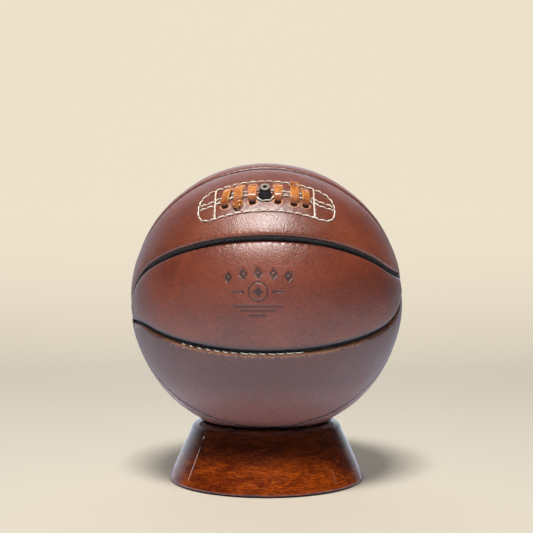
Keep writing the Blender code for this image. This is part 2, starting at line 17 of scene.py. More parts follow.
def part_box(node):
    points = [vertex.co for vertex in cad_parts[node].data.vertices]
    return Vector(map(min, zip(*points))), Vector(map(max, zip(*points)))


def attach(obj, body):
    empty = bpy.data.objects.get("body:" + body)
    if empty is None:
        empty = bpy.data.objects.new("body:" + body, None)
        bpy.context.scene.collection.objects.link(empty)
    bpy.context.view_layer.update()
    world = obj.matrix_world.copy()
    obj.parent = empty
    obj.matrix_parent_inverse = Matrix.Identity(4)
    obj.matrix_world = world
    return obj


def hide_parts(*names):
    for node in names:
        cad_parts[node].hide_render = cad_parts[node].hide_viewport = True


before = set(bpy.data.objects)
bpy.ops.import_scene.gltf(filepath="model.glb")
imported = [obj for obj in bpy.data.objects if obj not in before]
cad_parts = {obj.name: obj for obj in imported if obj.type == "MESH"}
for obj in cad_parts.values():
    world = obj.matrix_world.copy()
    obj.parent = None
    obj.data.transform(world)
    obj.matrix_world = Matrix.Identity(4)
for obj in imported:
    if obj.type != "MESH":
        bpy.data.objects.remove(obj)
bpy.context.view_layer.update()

MM = 0.001

# Driving dimensions. The ball's radius and centre come from the frame.
FRONT_TURN = 4.0  # the front gore's centre line, turned up from -Y about X
BALL_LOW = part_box("panel_bottom")[0][2]
BALL_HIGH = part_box("panel_top")[1][2]
BALL_R = (BALL_HIGH - BALL_LOW) / 2.0 / math.cos(math.radians(FRONT_TURN)) / MM
CENTRE = Vector((0.0, 0.0, (BALL_HIGH + BALL_LOW) / 2.0))
GORES = ("front", "lace", "top", "upper_back", "back", "lower_back", "bottom", "lower_front")

# Seams: the straight middle follows a meridian, and the last stretch bends to the end ridge
STRAIGHT_ANGLE = 55.0
STRAIGHT_SHARE = 0.61
SEAM_SHARE_PER_MM = STRAIGHT_SHARE / (BALL_R * math.radians(STRAIGHT_ANGLE))
CAP_REACH = BALL_R * math.radians(90.0 - STRAIGHT_ANGLE)
CAP_LEAD = 20.0  # how far the bend's curve leads on from the straight stretch and into the ridge
RIDGE_LEAD = 14.0
RIDGE_HALF = 28.0
RIDGE_INNER = 12.0
RIDGE_TURN = {1: FRONT_TURN + 45.0, -1: FRONT_TURN - 45.0}
TIP_BEND = 38.0
MIDDLE_BEND = 80.0

# Leather
LEATHER = 2.6
EDGE_OFFSET = 2.75
CLOSE_EDGES = {0: 1.4, 1: 2.4, 7: 1.6}  # for the seams round the front gore and the lowest one
SHALLOW_EDGES = {7: 0.35}  # share of the edge's roll, for the lowest seam
EDGE_SAG = 1.3
SAG_REACH = 5.5
LIP = 2.2
LIP_DROP = 2.0
FLANGE_R = BALL_R - 6.6
FLANGE_OFFSET = 1.2
FLANGE_THICKNESS = 1.4
MOST_WIDENING = 1.0 / 0.35  # the most that a slanting seam widens an edge
FINISH = {  # darkening, dye along the lower edge, a lighter worn band along the lower edge (on the bottom gore partly painted light for its shaded underside)
    "front": (0.0, 1.0, 0.3), "lace": (0.1, 0.0, 0.6), "top": (0.25, 0.0, 0.0),
    "upper_back": (0.1, 0.0, 0.4), "back": (0.3, 0.0, 0.2), "lower_back": (0.2, 0.0, 0.3),
    "bottom": (0.0, 0.0, 0.6), "lower_front": (0.9, 0.7, 0.0),
}
LEAST_WIDTH = 2.6
STEP_FINE = 0.6
STEP_COARSE = 1.5
FINE_AREAS = {"lace": (63.0, 0.2, 0.74), "front": (40.0, 0.29, 0.71)}  # reach along, shares across

# Welts
WELT_HALF = 2.0
WELT_FOOT_HALF = 0.7
WELT_FOOT_R = BALL_R - 6.4
WELT_SHOULDER_R = BALL_R - 4.0
WELT_CROWN_R = BALL_R - 1.9
WELT_SINK = {0: 1.6, 7: -0.9}

# Laced opening: along X from the middle, and across, up and back from its centre line
LACE_TURN = 47.0
OPENING_HALF_LENGTH = 57.4
OPENING_HALF_WIDTH = 18.2
OPENING_STRAIGHT = 40.0
OPENING_RAISE = 0.75
OPENING_SAG = 2.7
SLIT_ACROSS = 2.1
SLIT_SAG = 4.9
SLIT_SAG_START = 24.0
SLIT_SAG_END = 48.0
SLIT_WIDTH = 0.7
SLIT_ENDS = (-39.0, 36.0)
ROW_OFFSET = 2.5
LOWER_ROW_BOW = 7.2
UPPER_ROW_BOW = 1.6
BOW_REACH = 7.4
BAR_PLACES = (-42.2, 39.0)
THREAD_R = 0.53
BAR_THREAD_R = 0.6
STITCH = 7.0

# The lace's bridges over the slit, as (lower hole, upper hole, width, roll)
BRIDGES = (
    ((-34.0, -8.6), (-31.0, 11.6), 6.8, 24.0),
    ((-22.6, -8.8), (-21.8, 13.0), 7.4, 16.0),
    ((-11.4, -7.6), (-11.0, 12.0), 6.9, 0.0),
    ((9.1, -7.5), (9.3, 12.3), 6.5, 0.0),
    ((22.2, -8.5), (22.4, 14.0), 7.2, -14.0),
    ((31.9, -8.3), (31.0, 10.6), 6.4, -20.0),
)
LACE_HOLES = [hole for bridge in BRIDGES for hole in bridge[:2]]
LACE_HOLE_R = 3.0
LACE_NECK = 4.9
LACE_THICKNESS = 1.9
LACE_RISE = 2.5
LACE_INSIDE_HEIGHT = -8.4
LACE_HUG = 1.5

# Valve
VALVE_ALONG = -1.2
VALVE_ACROSS = -0.8
VALVE_HOLE_R = 5.6
STEM_R = 4.9
STEM_TOP_R = 4.4
STEM_BORE_R = 3.1
STEM_BOTTOM = BALL_R - 14.2
STEM_TOP = BALL_R + 7.7
PLUG_R = 4.2
PLUG_SHANK_R = 2.8
PLUG_HEAD = 1.7
PLUG_LENGTH = 11.0
NEEDLE_R = 1.2

# Stand
STAND_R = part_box("stand")[1][0] / MM
STAND_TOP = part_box("stand")[1][2] / MM
FELT_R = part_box("base_felt")[1][0] / MM
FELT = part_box("base_felt")[1][2] / MM

# Camera: level with the ball, a little above, eight ball radii away
CAMERA_DISTANCE = 8.0 * BALL_R
CAMERA_RISE = 2.5


# Curves, directions and seams ----------------------------------------------------------------------


def bell(distance, reach):
    return np.exp(-((distance / reach) ** 2))


def ramp(value, start, end):
    """From 0 at `start` to 1 at `end`, and level beyond them."""
    return np.clip((value - start) / (end - start), 0.0, 1.0)


def circle(count):
    return np.linspace(0.0, 2.0 * math.pi, count, endpoint=False)


def direction(along, turn):
    """Unit vectors at angles `along` from the middle towards +X, turned up from -Y about X."""
    tilt = np.radians(along)
    spin = np.radians(turn)
    across = np.cos(tilt)
    return np.stack([np.sin(tilt) + 0.0 * spin, -across * np.cos(spin), across * np.sin(spin)], axis=-1)


def unit(vectors):
    return vectors / np.linalg.norm(vectors, axis=-1, keepdims=True)


def flat(turn):
    """Unit vector in the plane that unrolls the cap round an end of the ball."""
    return np.array([math.cos(math.radians(turn)), math.sin(math.radians(turn))])


def cap_direction(side, offset):
    """Unit vectors for points of the unrolled cap, in millimetres from the end of the axis."""
    reach = np.linalg.norm(offset, axis=-1)
    turn = np.degrees(np.arctan2(offset[..., 1], offset[..., 0]))
    return direction(side * (90.0 - np.degrees(reach / BALL_R)), turn)


def seam_turn(index):
    return FRONT_TURN + 45.0 * (index - 0.5)


def seam_landing(index, side):
    """Where a seam meets the ridge, as (end point, end direction) in the unrolled cap."""
    ridge, beside = flat(RIDGE_TURN[side]), flat(RIDGE_TURN[side] + 90.0)
    relative = flat(seam_turn(index) - RIDGE_TURN[side])
    at_tip = abs(relative[0]) > math.cos(math.radians(45.0))
    reach, bend = (RIDGE_HALF, TIP_BEND) if at_tip else (RIDGE_INNER, MIDDLE_BEND)
    along, across = flat(bend) * np.sign(relative)
    return ridge * reach * np.sign(relative[0]), ridge * along + beside * across


def seam_directions(index, u):
    """Unit vectors on a seam, with u from -1 at the ridge on the left to 1 at the ridge on the right."""
    u = np.asarray(u, float)
    points = direction(u * STRAIGHT_ANGLE / STRAIGHT_SHARE, seam_turn(index))
    for side in (-1, 1):
        outward = flat(seam_turn(index))
        end, heading = seam_landing(index, side)
        chosen = side * u > STRAIGHT_SHARE
        t = ((side * u[chosen] - STRAIGHT_SHARE) / (1.0 - STRAIGHT_SHARE))[:, None]
        offset = (
            outward * CAP_REACH * (1.0 - t) ** 3
            + outward * (CAP_REACH - CAP_LEAD) * 3.0 * t * (1.0 - t) ** 2
            + (end + heading * RIDGE_LEAD) * 3.0 * t ** 2 * (1.0 - t)
            + end * t ** 3
        )
        points[chosen] = cap_direction(side, offset)
    return points


def seam_frames(index, u):
    """(places, sideways) as unit vectors on a seam."""
    step = 0.004
    ahead, behind = np.minimum(u + step, 1.0), np.maximum(u - step, -1.0)
    places = seam_directions(index, u)
    return places, unit(np.cross(places, seam_directions(index, ahead) - seam_directions(index, behind)))


def ridge_distance(places):
    """Distance in millimetres from unit vectors to the ridge on their own side."""
    found = np.empty(places.shape[:-1])
    for side in (-1, 1):
        chosen = side * places[..., 0] >= 0.0
        near = places[chosen]
        reach = BALL_R * np.arccos(np.clip(side * near[..., 0], -1.0, 1.0))
        turn = np.arctan2(near[..., 2], -near[..., 1])
        offset = np.stack([np.cos(turn), np.sin(turn)], axis=-1) * reach[..., None]
        ridge = flat(RIDGE_TURN[side])
        inside = np.clip(offset @ ridge, -RIDGE_HALF, RIDGE_HALF)
        found[chosen] = np.linalg.norm(offset - inside[..., None] * ridge, axis=-1)
    return found


def slerp(first, second, share):
    """Unit vectors part of the way over the ball from the first ones to the second."""
    angle = np.arccos(np.clip((first * second).sum(-1), -1.0, 1.0))[..., None]
    share = share[..., None]
    return (np.sin((1.0 - share) * angle) * first + np.sin(share * angle) * second) / np.sin(angle)


def ball_along(places):
    """Distance in millimetres over the ball from its middle plane, towards +X."""
    return BALL_R * np.arcsin(np.clip(places[..., 0], -1.0, 1.0))


def ball_coordinates(places, turn):
    """(along, across) in millimetres over the ball, from the point at `turn` in its middle plane."""
    around = np.degrees(np.arctan2(places[..., 2], -places[..., 1])) - turn
    return ball_along(places), np.radians((around + 180.0) % 360.0 - 180.0) * BALL_R


def lace_points(along, across, height=0.0):
    """Points in millimetres at coordinates of the laced opening, at a height over the ball's radius."""
    turn = LACE_TURN + np.degrees(np.asarray(across, float) / BALL_R)
    places = direction(np.degrees(np.asarray(along, float) / BALL_R), turn)
    return places * (BALL_R + np.asarray(height, float))[..., None]


# The side of a seam's frame that faces up at the front of the ball
SEAM_UP = float(np.sign(seam_frames(0, np.array([0.0]))[1][0, 2]))


# Meshes --------------------------------------------------------------------------------------------


def new_object(name, points, faces):
    """A mesh object from points in metres."""
    mesh = bpy.data.meshes.new(name)
    mesh.from_pydata(np.asarray(points, float).tolist(), [], faces)
    mesh.validate()
    made = bpy.data.objects.new(name, mesh)
    bpy.context.scene.collection.objects.link(made)
    return made


def turn_outwards(obj, weld=False):
    """Turns an object's faces outwards, after joining points that lie together if asked."""
    bm = bmesh.new()
    bm.from_mesh(obj.data)
    if weld:
        bmesh.ops.remove_doubles(bm, verts=bm.verts, dist=1e-7)
        bmesh.ops.dissolve_degenerate(bm, edges=bm.edges, dist=1e-8)
    bmesh.ops.recalc_face_normals(bm, faces=bm.faces)
    bm.to_mesh(obj.data)
    bm.free()


def to_object(name, points, faces, material, body="ball", centre=CENTRE, weld=False):
    """A smooth-shaded object from points in millimetres from `centre`, riding on a body."""
    made = new_object(name, np.asarray(points, float).reshape(-1, 3) * MM + np.array(centre), faces)
    turn_outwards(made, weld)
    made.data.materials.append(material)
    made.data.shade_smooth()
    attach(made, body)
    return made


def show_for(obj, node, sharp_angle=None):
    """Shows an object in place of a CAD node, with sharp edges where its faces meet at an angle."""
    if sharp_angle:
        obj.data.set_sharp_from_angle(angle=math.radians(sharp_angle))
    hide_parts(node)


def ring_faces(rings, corners, start=0, closed=False):
    """Faces of a tube of rings with `corners` points each, its ends filled, or joined if closed."""
    faces = []
    for ring in range(rings if closed else rings - 1):
        low = start + ring * corners
        high = start + (ring + 1) % rings * corners
        for corner in range(corners):
            after = (corner + 1) % corners
            faces.append((low + corner, low + after, high + after, high + corner))
    if not closed:
        for low in (start, start + (rings - 1) * corners):
            faces.append(tuple(range(low, low + corners)))
    return faces


def store(obj, name, values):
    """A value for each vertex, for the material to read."""
    layer = obj.data.attributes.new(name, "FLOAT", "POINT")
    layer.data.foreach_set("value", np.asarray(values, np.float32))


def vertex_array(obj):
    points = np.empty(len(obj.data.vertices) * 3)
    obj.data.vertices.foreach_get("co", points)
    return (points.reshape(-1, 3) - np.array(CENTRE)) / MM


def set_vertices(obj, points):
    obj.data.vertices.foreach_set("co", (points * MM + np.array(CENTRE)).ravel())
    obj.data.update()


def turned(name, profile, segments, material, body, matrix=None):
    """A body turned from a closed profile of (radius, height), about Z or the ball's axis in `matrix`."""
    radius, height = np.asarray(profile, float).T
    angles = circle(segments)[:, None]
    points = np.stack([radius * np.cos(angles), radius * np.sin(angles), height + 0.0 * angles], axis=-1)
    if matrix is not None:
        points = points @ matrix.T
    centre = (0.0, 0.0, 0.0) if matrix is None else CENTRE
    faces = ring_faces(segments, len(profile), closed=True)
    return to_object(name, points, faces, material, body, centre, weld=True)


def fractal(places, scale, octaves=3, seed=0.0):
    """Noise from about -1 to 1 at unit vectors."""
    shift = Vector((seed, seed * 0.7, -seed))
    return np.array([
        noise.fractal(Vector(place) * scale + shift, 1.0, 2.0, octaves) for place in places
    ])


# Stitches of the opening ---------------------------------------------------------------------------


def slit_across(along):
    """The slit's place across the opening: level in the middle, and lower towards its ends."""
    share = ramp(np.abs(along), SLIT_SAG_START, SLIT_SAG_END)
    return SLIT_ACROSS - SLIT_SAG * share * share * (3.0 - 2.0 * share)


def opening_middle(along):
    """The middle of the sewn outline, which hangs lower towards its ends."""
    return OPENING_RAISE - OPENING_SAG * (along / OPENING_STRAIGHT) ** 2


def opening_outline():
    """The sewn outline round the opening, as (along, across) points of a closed loop."""
    straight = np.linspace(0.0, OPENING_STRAIGHT, 60, endpoint=False)
    angles = np.linspace(0.0, math.pi / 2.0, 60)
    end = OPENING_STRAIGHT + (OPENING_HALF_LENGTH - OPENING_STRAIGHT) * np.sin(angles) ** (2.0 / 3.0)
    along = np.concatenate([straight, end])
    half = OPENING_HALF_WIDTH * np.concatenate([np.ones(60), np.maximum(np.cos(angles), 0.0) ** 0.8])
    upper = np.concatenate([np.stack([-along, half], -1)[::-1], np.stack([along, half], -1)[1:]])
    loop = np.concatenate([upper, upper[::-1] * np.array([1.0, -1.0])])
    loop[:, 1] += opening_middle(loop[:, 0])
    return loop


def slit_row(side):
    """A row of stitching beside the slit, which bows out round the valve."""
    along = np.linspace(-OPENING_HALF_LENGTH + 1.2, OPENING_HALF_LENGTH - 1.2, 240)
    bow = LOWER_ROW_BOW if side < 0.0 else UPPER_ROW_BOW
    bow = bow * np.exp(-(np.abs((along - VALVE_ALONG) / BOW_REACH) ** 3))
    return np.stack([along, slit_across(along) + side * (ROW_OFFSET + bow)], axis=-1)


def bar_row(along):
    across = opening_middle(along) + OPENING_HALF_WIDTH * np.linspace(-1.0, 1.0, 60)
    return np.stack([np.full(60, along), across], axis=-1)


def split_row(line, pitch, gap):
    """Cuts a line into stitches, each a short run of points, with a small gap between stitches."""
    steps = np.linalg.norm(np.diff(line, axis=0), axis=1)
    run = np.concatenate([[0.0], np.cumsum(steps)])
    count = max(1, round(run[-1] / pitch))
    length = run[-1] / count
    stitches = []
    for number in range(count):
        places = np.linspace(number * length + gap / 2.0, (number + 1) * length - gap / 2.0, 17)
        stitches.append(np.stack([np.interp(places, run, values) for values in line.T], axis=-1))
    return stitches


ROWS = {
    "outline_stitching": split_row(opening_outline(), STITCH, 0.8),
    "slit_stitching_lower": split_row(slit_row(-1.0), STITCH * 0.9, 0.8),
    "slit_stitching_upper": split_row(slit_row(1.0), STITCH * 0.93, 0.8),
    "bar_stitching_left": split_row(bar_row(BAR_PLACES[0]), STITCH * 0.75, 0.2),
    "bar_stitching_right": split_row(bar_row(BAR_PLACES[1]), STITCH * 0.75, 0.2),
}


def stitch_groove(along, across):
    """How far the leather is pulled down by the stitches, at points of the opening."""
    depth = np.zeros_like(along)
    point = np.stack([along, across], axis=-1)
    for stitches in ROWS.values():
        for stitch in stitches:
            start, end = stitch[0], stitch[-1]
            run = end - start
            share = np.clip(((point - start) @ run) / (run @ run), 0.0, 1.0)
            gap = np.linalg.norm(point - start - share[..., None] * run, axis=-1)
            depth = np.maximum(depth, 0.32 * bell(gap, 1.1))
            for hole in (start, end):
                near = np.linalg.norm(point - hole, axis=-1)
                depth = np.maximum(depth, 0.65 * bell(near, 0.9))
    return depth


def opening_relief(along, across):
    """Height of the leather's face round the opening: padding, dimples at holes, the slit's edges."""
    off_middle = across - opening_middle(along)
    inside = 1.0 - (np.abs(along) / OPENING_HALF_LENGTH) ** 4 - (off_middle / OPENING_HALF_WIDTH) ** 4
    height = 0.5 * np.clip(inside, 0.0, 1.0) ** 0.6
    for hole in LACE_HOLES:
        near = np.hypot(along - hole[0], across - hole[1])
        height = height - 0.6 * bell(near, 3.2) + 0.3 * bell(near - 4.2, 0.9)
    at_slit = (along > SLIT_ENDS[0] - 1.0) & (along < SLIT_ENDS[1] + 1.0)
    height = height - 0.6 * at_slit * bell(across - slit_across(along), 0.9)
    valve = np.hypot(along - VALVE_ALONG, across - VALVE_ACROSS)
    return height + 0.6 * bell(valve - 6.6, 1.4)


# Gores ---------------------------------------------------------------------------------------------


def edge_drop(inward):
    """How far the leather's face lies below the ball's radius, at a distance in from its edge."""
    inward = np.maximum(inward, 0.0)
    lip = 1.0 - ramp(inward, 0.0, LIP)
    return EDGE_SAG * np.exp(-inward / SAG_REACH) + LIP_DROP * (1.0 - np.sqrt(1.0 - lip ** 2))


def spread(stretches):
    """Positions along a line from stretches of (start, end, step)."""
    parts = []
    for start, end, step in stretches:
        count = max(1, round(abs(end - start) / step))
        parts.append(np.linspace(start, end, count, endpoint=False))
    return np.concatenate([*parts, [stretches[-1][1]]])


class Gore:
    """The strip of the ball between seam `index` and the next one."""

    def __init__(self, index):
        self.index = index
        seams = (index, (index + 1) % len(GORES))
        self.offsets = [CLOSE_EDGES.get(seam, EDGE_OFFSET) for seam in seams]
        self.depths = [SHALLOW_EDGES.get(seam, 1.0) for seam in seams]
        self.ends = [self.end(-1), self.end(1)]

    def section(self, u):
        """(places on both seams, width between them, how much each slanting seam widens its edge,
        width between the edges) at values of u."""
        first, first_side = seam_frames(self.index, u)
        second, second_side = seam_frames(self.index + 1, u)
        width = BALL_R * np.arccos(np.clip((first * second).sum(-1), -1.0, 1.0))
        chord = unit(second - first)
        widening = [
            np.minimum(MOST_WIDENING, 1.0 / np.abs((chord * side).sum(-1)))
            for side in (first_side, second_side)
        ]
        free = width - self.offsets[0] * widening[0] - self.offsets[1] * widening[1]
        return first, second, width, widening, free

    def end(self, side):
        """The largest u, towards one side, at which the gore still clears the ridge."""
        low, high = 0.7, 1.0
        for _ in range(24):
            middle = (low + high) / 2.0
            u = np.array([side * middle])
            first, second, _, _, free = self.section(u)
            between = slerp(first.repeat(9, 0), second.repeat(9, 0), np.linspace(0.06, 0.94, 9))
            clear = ridge_distance(between).min() > EDGE_OFFSET and free[0] > LEAST_WIDTH
            low, high = (middle, high) if clear else (low, middle)
        return low

    def stations(self, fine_reach):
        """Values of u, closer together within `fine_reach` millimetres of the middle and at the ends."""
        left, right = self.ends
        fine, coarse, reach = np.array([STEP_FINE, STEP_COARSE, fine_reach]) * SEAM_SHARE_PER_MM
        middle = [(-reach, reach, fine)] if fine_reach else []
        return spread([
            (-left, -left + 0.03, fine), (-left + 0.03, -reach, coarse), *middle,
            (reach, right - 0.03, coarse), (right - 0.03, right, fine),
        ])


def column_shares(low, high):
    """Positions across a gore from 0 to 1, closer at both edges and between `low` and `high`."""
    edge = np.array([0.0, 0.0025, 0.006, 0.011, 0.018, 0.027, 0.038, 0.055])
    fine = 1.0 / 140.0
    coarse = 1.0 / 44.0
    middle = [(low, high, fine)] if high > low else []
    inner = spread([(0.08, low, coarse), *middle, (high, 0.92, coarse)])
    return np.concatenate([edge, inner, 1.0 - edge[::-1]])


def pucker(along, seam):
    """Small scallops where the seam's thread draws the leather in."""
    phase = along / 6.4 + 0.35 * np.sin(along / 17.0 + seam)
    return 0.5 + 0.5 * np.cos(2.0 * math.pi * phase)


def gore_points(gore, u, shares):
    """(unit vectors, distance in from the edge) of a gore's face on a grid."""
    first, second, width, widening, free = (np.expand_dims(part, -1) for part in gore.section(u))
    share = (gore.offsets[0] * widening[0] + free * shares) / width
    places = slerp(first.swapaxes(1, 2), second.swapaxes(1, 2), share)
    inward = free * np.minimum(shares, 1.0 - shares)
    from_end = ridge_distance(places) - EDGE_OFFSET
    return places, np.minimum(inward / np.clip(free / 26.0, 0.2, 1.0), from_end)


def face_height(gore, places, inward, shares):
    """Height of a gore's face over the ball's radius, `inward` millimetres from its edge."""
    index = gore.index
    flat_places = places.reshape(-1, 3)
    waves = fractal(flat_places, 3.2, 2, 3.0 + index) * 0.55
    ripples = fractal(flat_places, 11.0, 2, 9.0 + index) * 0.16
    height = (waves + ripples).reshape(inward.shape) - 0.35
    calm = 1.0 - np.exp(-np.maximum(inward, 0.0) / 9.0)
    drawn = 0.28 * pucker(ball_along(places), index) * bell(inward - 1.2, 2.2)
    depth = np.where(shares < 0.5, *gore.depths)
    if GORES[index] == "front":  # a raised bead along the upper edge
        height = height + 0.5 * (shares > 0.5) * bell(inward - 2.1, 0.8)
    return height * calm - edge_drop(inward) * depth - drawn


def make_gore(index, material):
    name = GORES[index]
    gore = Gore(index)
    fine_reach, *fine_shares = FINE_AREAS.get(name, (0.0, 0.5, 0.5))
    u = gore.stations(fine_reach)
    shares = column_shares(*fine_shares)
    places, inward = gore_points(gore, u, shares)
    outer = places * (BALL_R + face_height(gore, places, inward, shares))[..., None]
    places, inward = gore_points(gore, u, np.linspace(0.04, 0.96, 9))
    inner = places * (BALL_R - LEATHER - 0.4 - edge_drop(inward))[..., None]
    flanges = [flange_points(gore, u, side) for side in (0, 1)]
    rings = np.concatenate([outer, *flanges[1], inner[:, ::-1], *flanges[0][::-1]], axis=1)
    made = to_object(f"leather_{name}", rings, ring_faces(*rings.shape[:2]), material)
    if name == "lace":
        pierce(made)
    finish_gore(made, index)
    show_for(made, f"panel_{name}", 60.0)


def flange_points(gore, u, side):
    """The turned-in edge on one side, as (outer face going down, inner face coming up)."""
    first, second, width, widening, free = gore.section(u)
    root = np.minimum(FLANGE_THICKNESS, 0.3 * free)
    top_r = BALL_R - EDGE_SAG - LIP_DROP
    edge = gore.offsets[side]
    faces = []
    for depths, thickness in (((0.35, 0.7, 1.0), 0.0), ((1.0, 0.5), root)):
        rows = []
        for depth in depths:
            offset = (edge + (FLANGE_OFFSET - edge) * depth) * widening[side] + thickness
            share = offset / width if side == 0 else 1.0 - offset / width
            rows.append(slerp(first, second, share) * (top_r + (FLANGE_R - top_r) * depth))
        faces.append(np.stack(rows[::-1] if side == 0 else rows, axis=1))
    return faces


def cutter(name, points, faces):
    made = new_object(name, np.asarray(points) * MM + np.array(CENTRE), faces)
    turn_outwards(made)
    return made


def upright(along, across):
    """The rotation that turns +Z to stand square on the ball at a place of the opening."""
    axis = Vector(lace_points(along, across)).normalized()
    return np.array(axis.to_track_quat("Z", "Y").to_matrix())


def post(along, across, radius, sides):
    """Points of a short upright cylinder through the leather at a place of the opening."""
    angles = circle(sides)
    ring = np.stack([radius * np.cos(angles), radius * np.sin(angles), 0.0 * angles], axis=-1)
    ends = [ring + np.array([0.0, 0.0, height]) for height in (BALL_R - 9.0, BALL_R + 6.0)]
    return np.concatenate(ends) @ upright(along, across).T


def pierce(obj):
    """Cuts the lace holes, the valve's hole and the slit through the lace gore."""
    sides = 24
    posts = np.concatenate([post(*hole, LACE_HOLE_R, sides) for hole in LACE_HOLES])
    faces = [face for start in range(0, len(posts), 2 * sides) for face in ring_faces(2, sides, start)]
    holes = cutter("lace_hole_cutter", posts, faces)
    valve = cutter("valve_cutter", post(VALVE_ALONG, VALVE_ACROSS, VALVE_HOLE_R, 40), ring_faces(2, 40))
    along = np.linspace(*SLIT_ENDS, 61)
    wall = np.stack([
        lace_points(along, slit_across(along) + across * SLIT_WIDTH, height + 0.0 * along)
        for across, height in ((-0.5, 4.0), (0.5, 4.0), (0.5, -9.0), (-0.5, -9.0))
    ], axis=1).reshape(-1, 3)
    slit = cutter("slit_cutter", wall, ring_faces(len(along), 4))
    for tool in (valve, holes, slit):
        modifier = obj.modifiers.new(tool.name, "BOOLEAN")
        modifier.operation = "DIFFERENCE"
        modifier.solver = "EXACT"
        modifier.object = tool
    bpy.context.view_layer.update()
    evaluated = obj.evaluated_get(bpy.context.evaluated_depsgraph_get())
    cut_mesh = bpy.data.meshes.new_from_object(evaluated)
    obj.modifiers.clear()
    obj.data = cut_mesh
    for tool in (valve, holes, slit):
        bpy.data.objects.remove(tool)


def finish_gore(obj, index):
    """Relief of the opening and the tooled mark, and the values that the leather's material reads."""
    points = vertex_array(obj)
    radius = np.linalg.norm(points, axis=1)
    places = points / radius[:, None]
    on_face = ramp(radius, BALL_R - 3.4, BALL_R - 2.4)
    raw = np.zeros(len(points))
    mark = np.zeros(len(points))
    if GORES[index] == "lace":
        along, across = ball_coordinates(places, LACE_TURN)
        near = (np.abs(along) < OPENING_HALF_LENGTH + 8.0) & (np.abs(across) < OPENING_HALF_WIDTH + 8.0)
        relief = np.zeros(len(points))
        relief[near] = opening_relief(along[near], across[near]) - stitch_groove(along[near], across[near])
        points = points + places * (relief * on_face)[:, None]
        for hole in LACE_HOLES:
            gap = np.hypot(along - hole[0], across - hole[1]) - LACE_HOLE_R
            raw = np.maximum(raw, np.exp(-((np.maximum(gap, 0.0) / 1.25) ** 4)))
    if GORES[index] == "front":
        mark = tooled_mark(*ball_coordinates(places, FRONT_TURN))
        points = points - places * (0.4 * mark * on_face)[:, None]
    set_vertices(obj, points)
    lower = seam_distance(index, places)
    upper = seam_distance(index + 1, places)
    if GORES[index] == "lower_front":
        ragged = fractal(places, 55.0, 3, 90.0)
        reach = 4.2 + 1.3 * ragged - 1.4 * ramp(np.abs(ball_along(places)), 75.0, 100.0)
        raw = ramp(reach - upper, 0.0, 0.7) * 0.6
    tone, dye, wear_and_painted_light = FINISH[GORES[index]]
    tone = tone + 0.7 * ramp(np.abs(places[:, 0]), 0.72, 0.94)
    store(obj, "upper", upper)
    store(obj, "tone", np.minimum(tone, 1.0))
    store(obj, "dye", dye * ramp(lower, 5.6, 3.4))
    # A lighter worn band along the lower edge; on the bottom gore it is partly painted light for the shaded
    # underside
    store(obj, "wear_and_painted_light", wear_and_painted_light * ramp(lower, 28.0, 4.0))
    store(obj, "raw", raw)
    store(obj, "mark", mark)
    # Painted reflection of the lit floor: a paler, greyer colour over the ball's underside
    store(obj, "painted_floor_sheen", ramp(-places[:, 2], 0.55, 0.8))


def seam_distance(index, places):
    """Distance in millimetres from unit vectors to a seam."""
    line = seam_directions(index, np.linspace(-1.0, 1.0, 500))
    found = []
    for part in np.array_split(places, max(1, len(places) // 4000)):
        nearest = (part @ line.T).max(axis=1)
        found.append(BALL_R * np.arccos(np.clip(nearest, -1.0, 1.0)))
    return np.concatenate(found)


# Tooled mark ---------------------------------------------------------------------------------------


def line_mask(distance, half):
    """Close to 1 within `half` of a line and 0 beyond, with a soft edge."""
    return 1.0 / (1.0 + np.exp(np.clip((np.abs(distance) - half) / 0.14, -40.0, 40.0)))


def tooled_mark(along, across):
    """A plain geometric stamp: lozenges over a star in a ring, with three rules under it."""
    beside = along + 6.5
    up = across - 1.0
    middle = up - 1.5
    star = (np.abs(beside) ** 0.62 + np.abs(middle) ** 0.62) ** (1.0 / 0.62)
    shapes = [line_mask(np.hypot(beside, middle) - 7.4, 0.6), line_mask(star, 6.0)]
    for place in (-24.0, -12.0, 0.0, 12.0, 24.0):
        size = np.abs(beside - place) / 3.6 + np.abs(up - 16.0 + 0.004 * place ** 2) / 5.2
        shapes.append(line_mask((size - 0.6) * 3.0, 1.1))
    for side in (-1.0, 1.0):
        shapes.append(line_mask(np.hypot(beside - side * 12.5, middle), 1.5))
        reach = np.maximum(np.abs(beside - side * 18.0) - 3.0, 0.0)
        shapes.append(line_mask(np.hypot(reach, middle), 0.7))
    for level, half in ((-10.0, 19.0), (-13.4, 13.0), (-16.8, 6.0)):
        reach = np.maximum(np.abs(beside) - half, 0.0)
        shapes.append(line_mask(np.hypot(reach, up - level), 0.65))
    return np.max(shapes, axis=0)


# Welts ---------------------------------------------------------------------------------------------


def welt_section():
    """(sideways, radius) corners of a welt: a wedge with a rounded crown."""
    angles = np.linspace(0.0, math.pi, 15)
    rise = WELT_CROWN_R - WELT_SHOULDER_R
    crown = [(WELT_HALF * math.cos(a), WELT_SHOULDER_R + rise * math.sin(a)) for a in angles]
    return np.array([(WELT_FOOT_HALF, WELT_FOOT_R), *crown, (-WELT_FOOT_HALF, WELT_FOOT_R)])


def welt_strip(name, node, places, sideways, sunk, seed, material, shift=0.0):
    """A welt along unit vectors, sunk into the seam and shifted sideways in millimetres."""
    beside, height = (welt_section() + np.array([shift, 0.0])).T
    wobble = fractal(places, 14.0, 2, seed) * 0.25
    rise = fractal(places, 22.0, 2, seed + 5.0) * 0.18 + fractal(places, 80.0, 2, seed + 9.0) * 0.14
    crown = ramp(height, WELT_SHOULDER_R, WELT_CROWN_R)
    radius = height[None] + crown[None] * (rise - sunk)[:, None]
    beside = beside[None] + wobble[:, None]
    rings = places[:, None] * radius[..., None] + sideways[:, None] * beside[..., None]
    show_for(to_object(name, rings, ring_faces(*rings.shape[:2]), material), node, 50.0)


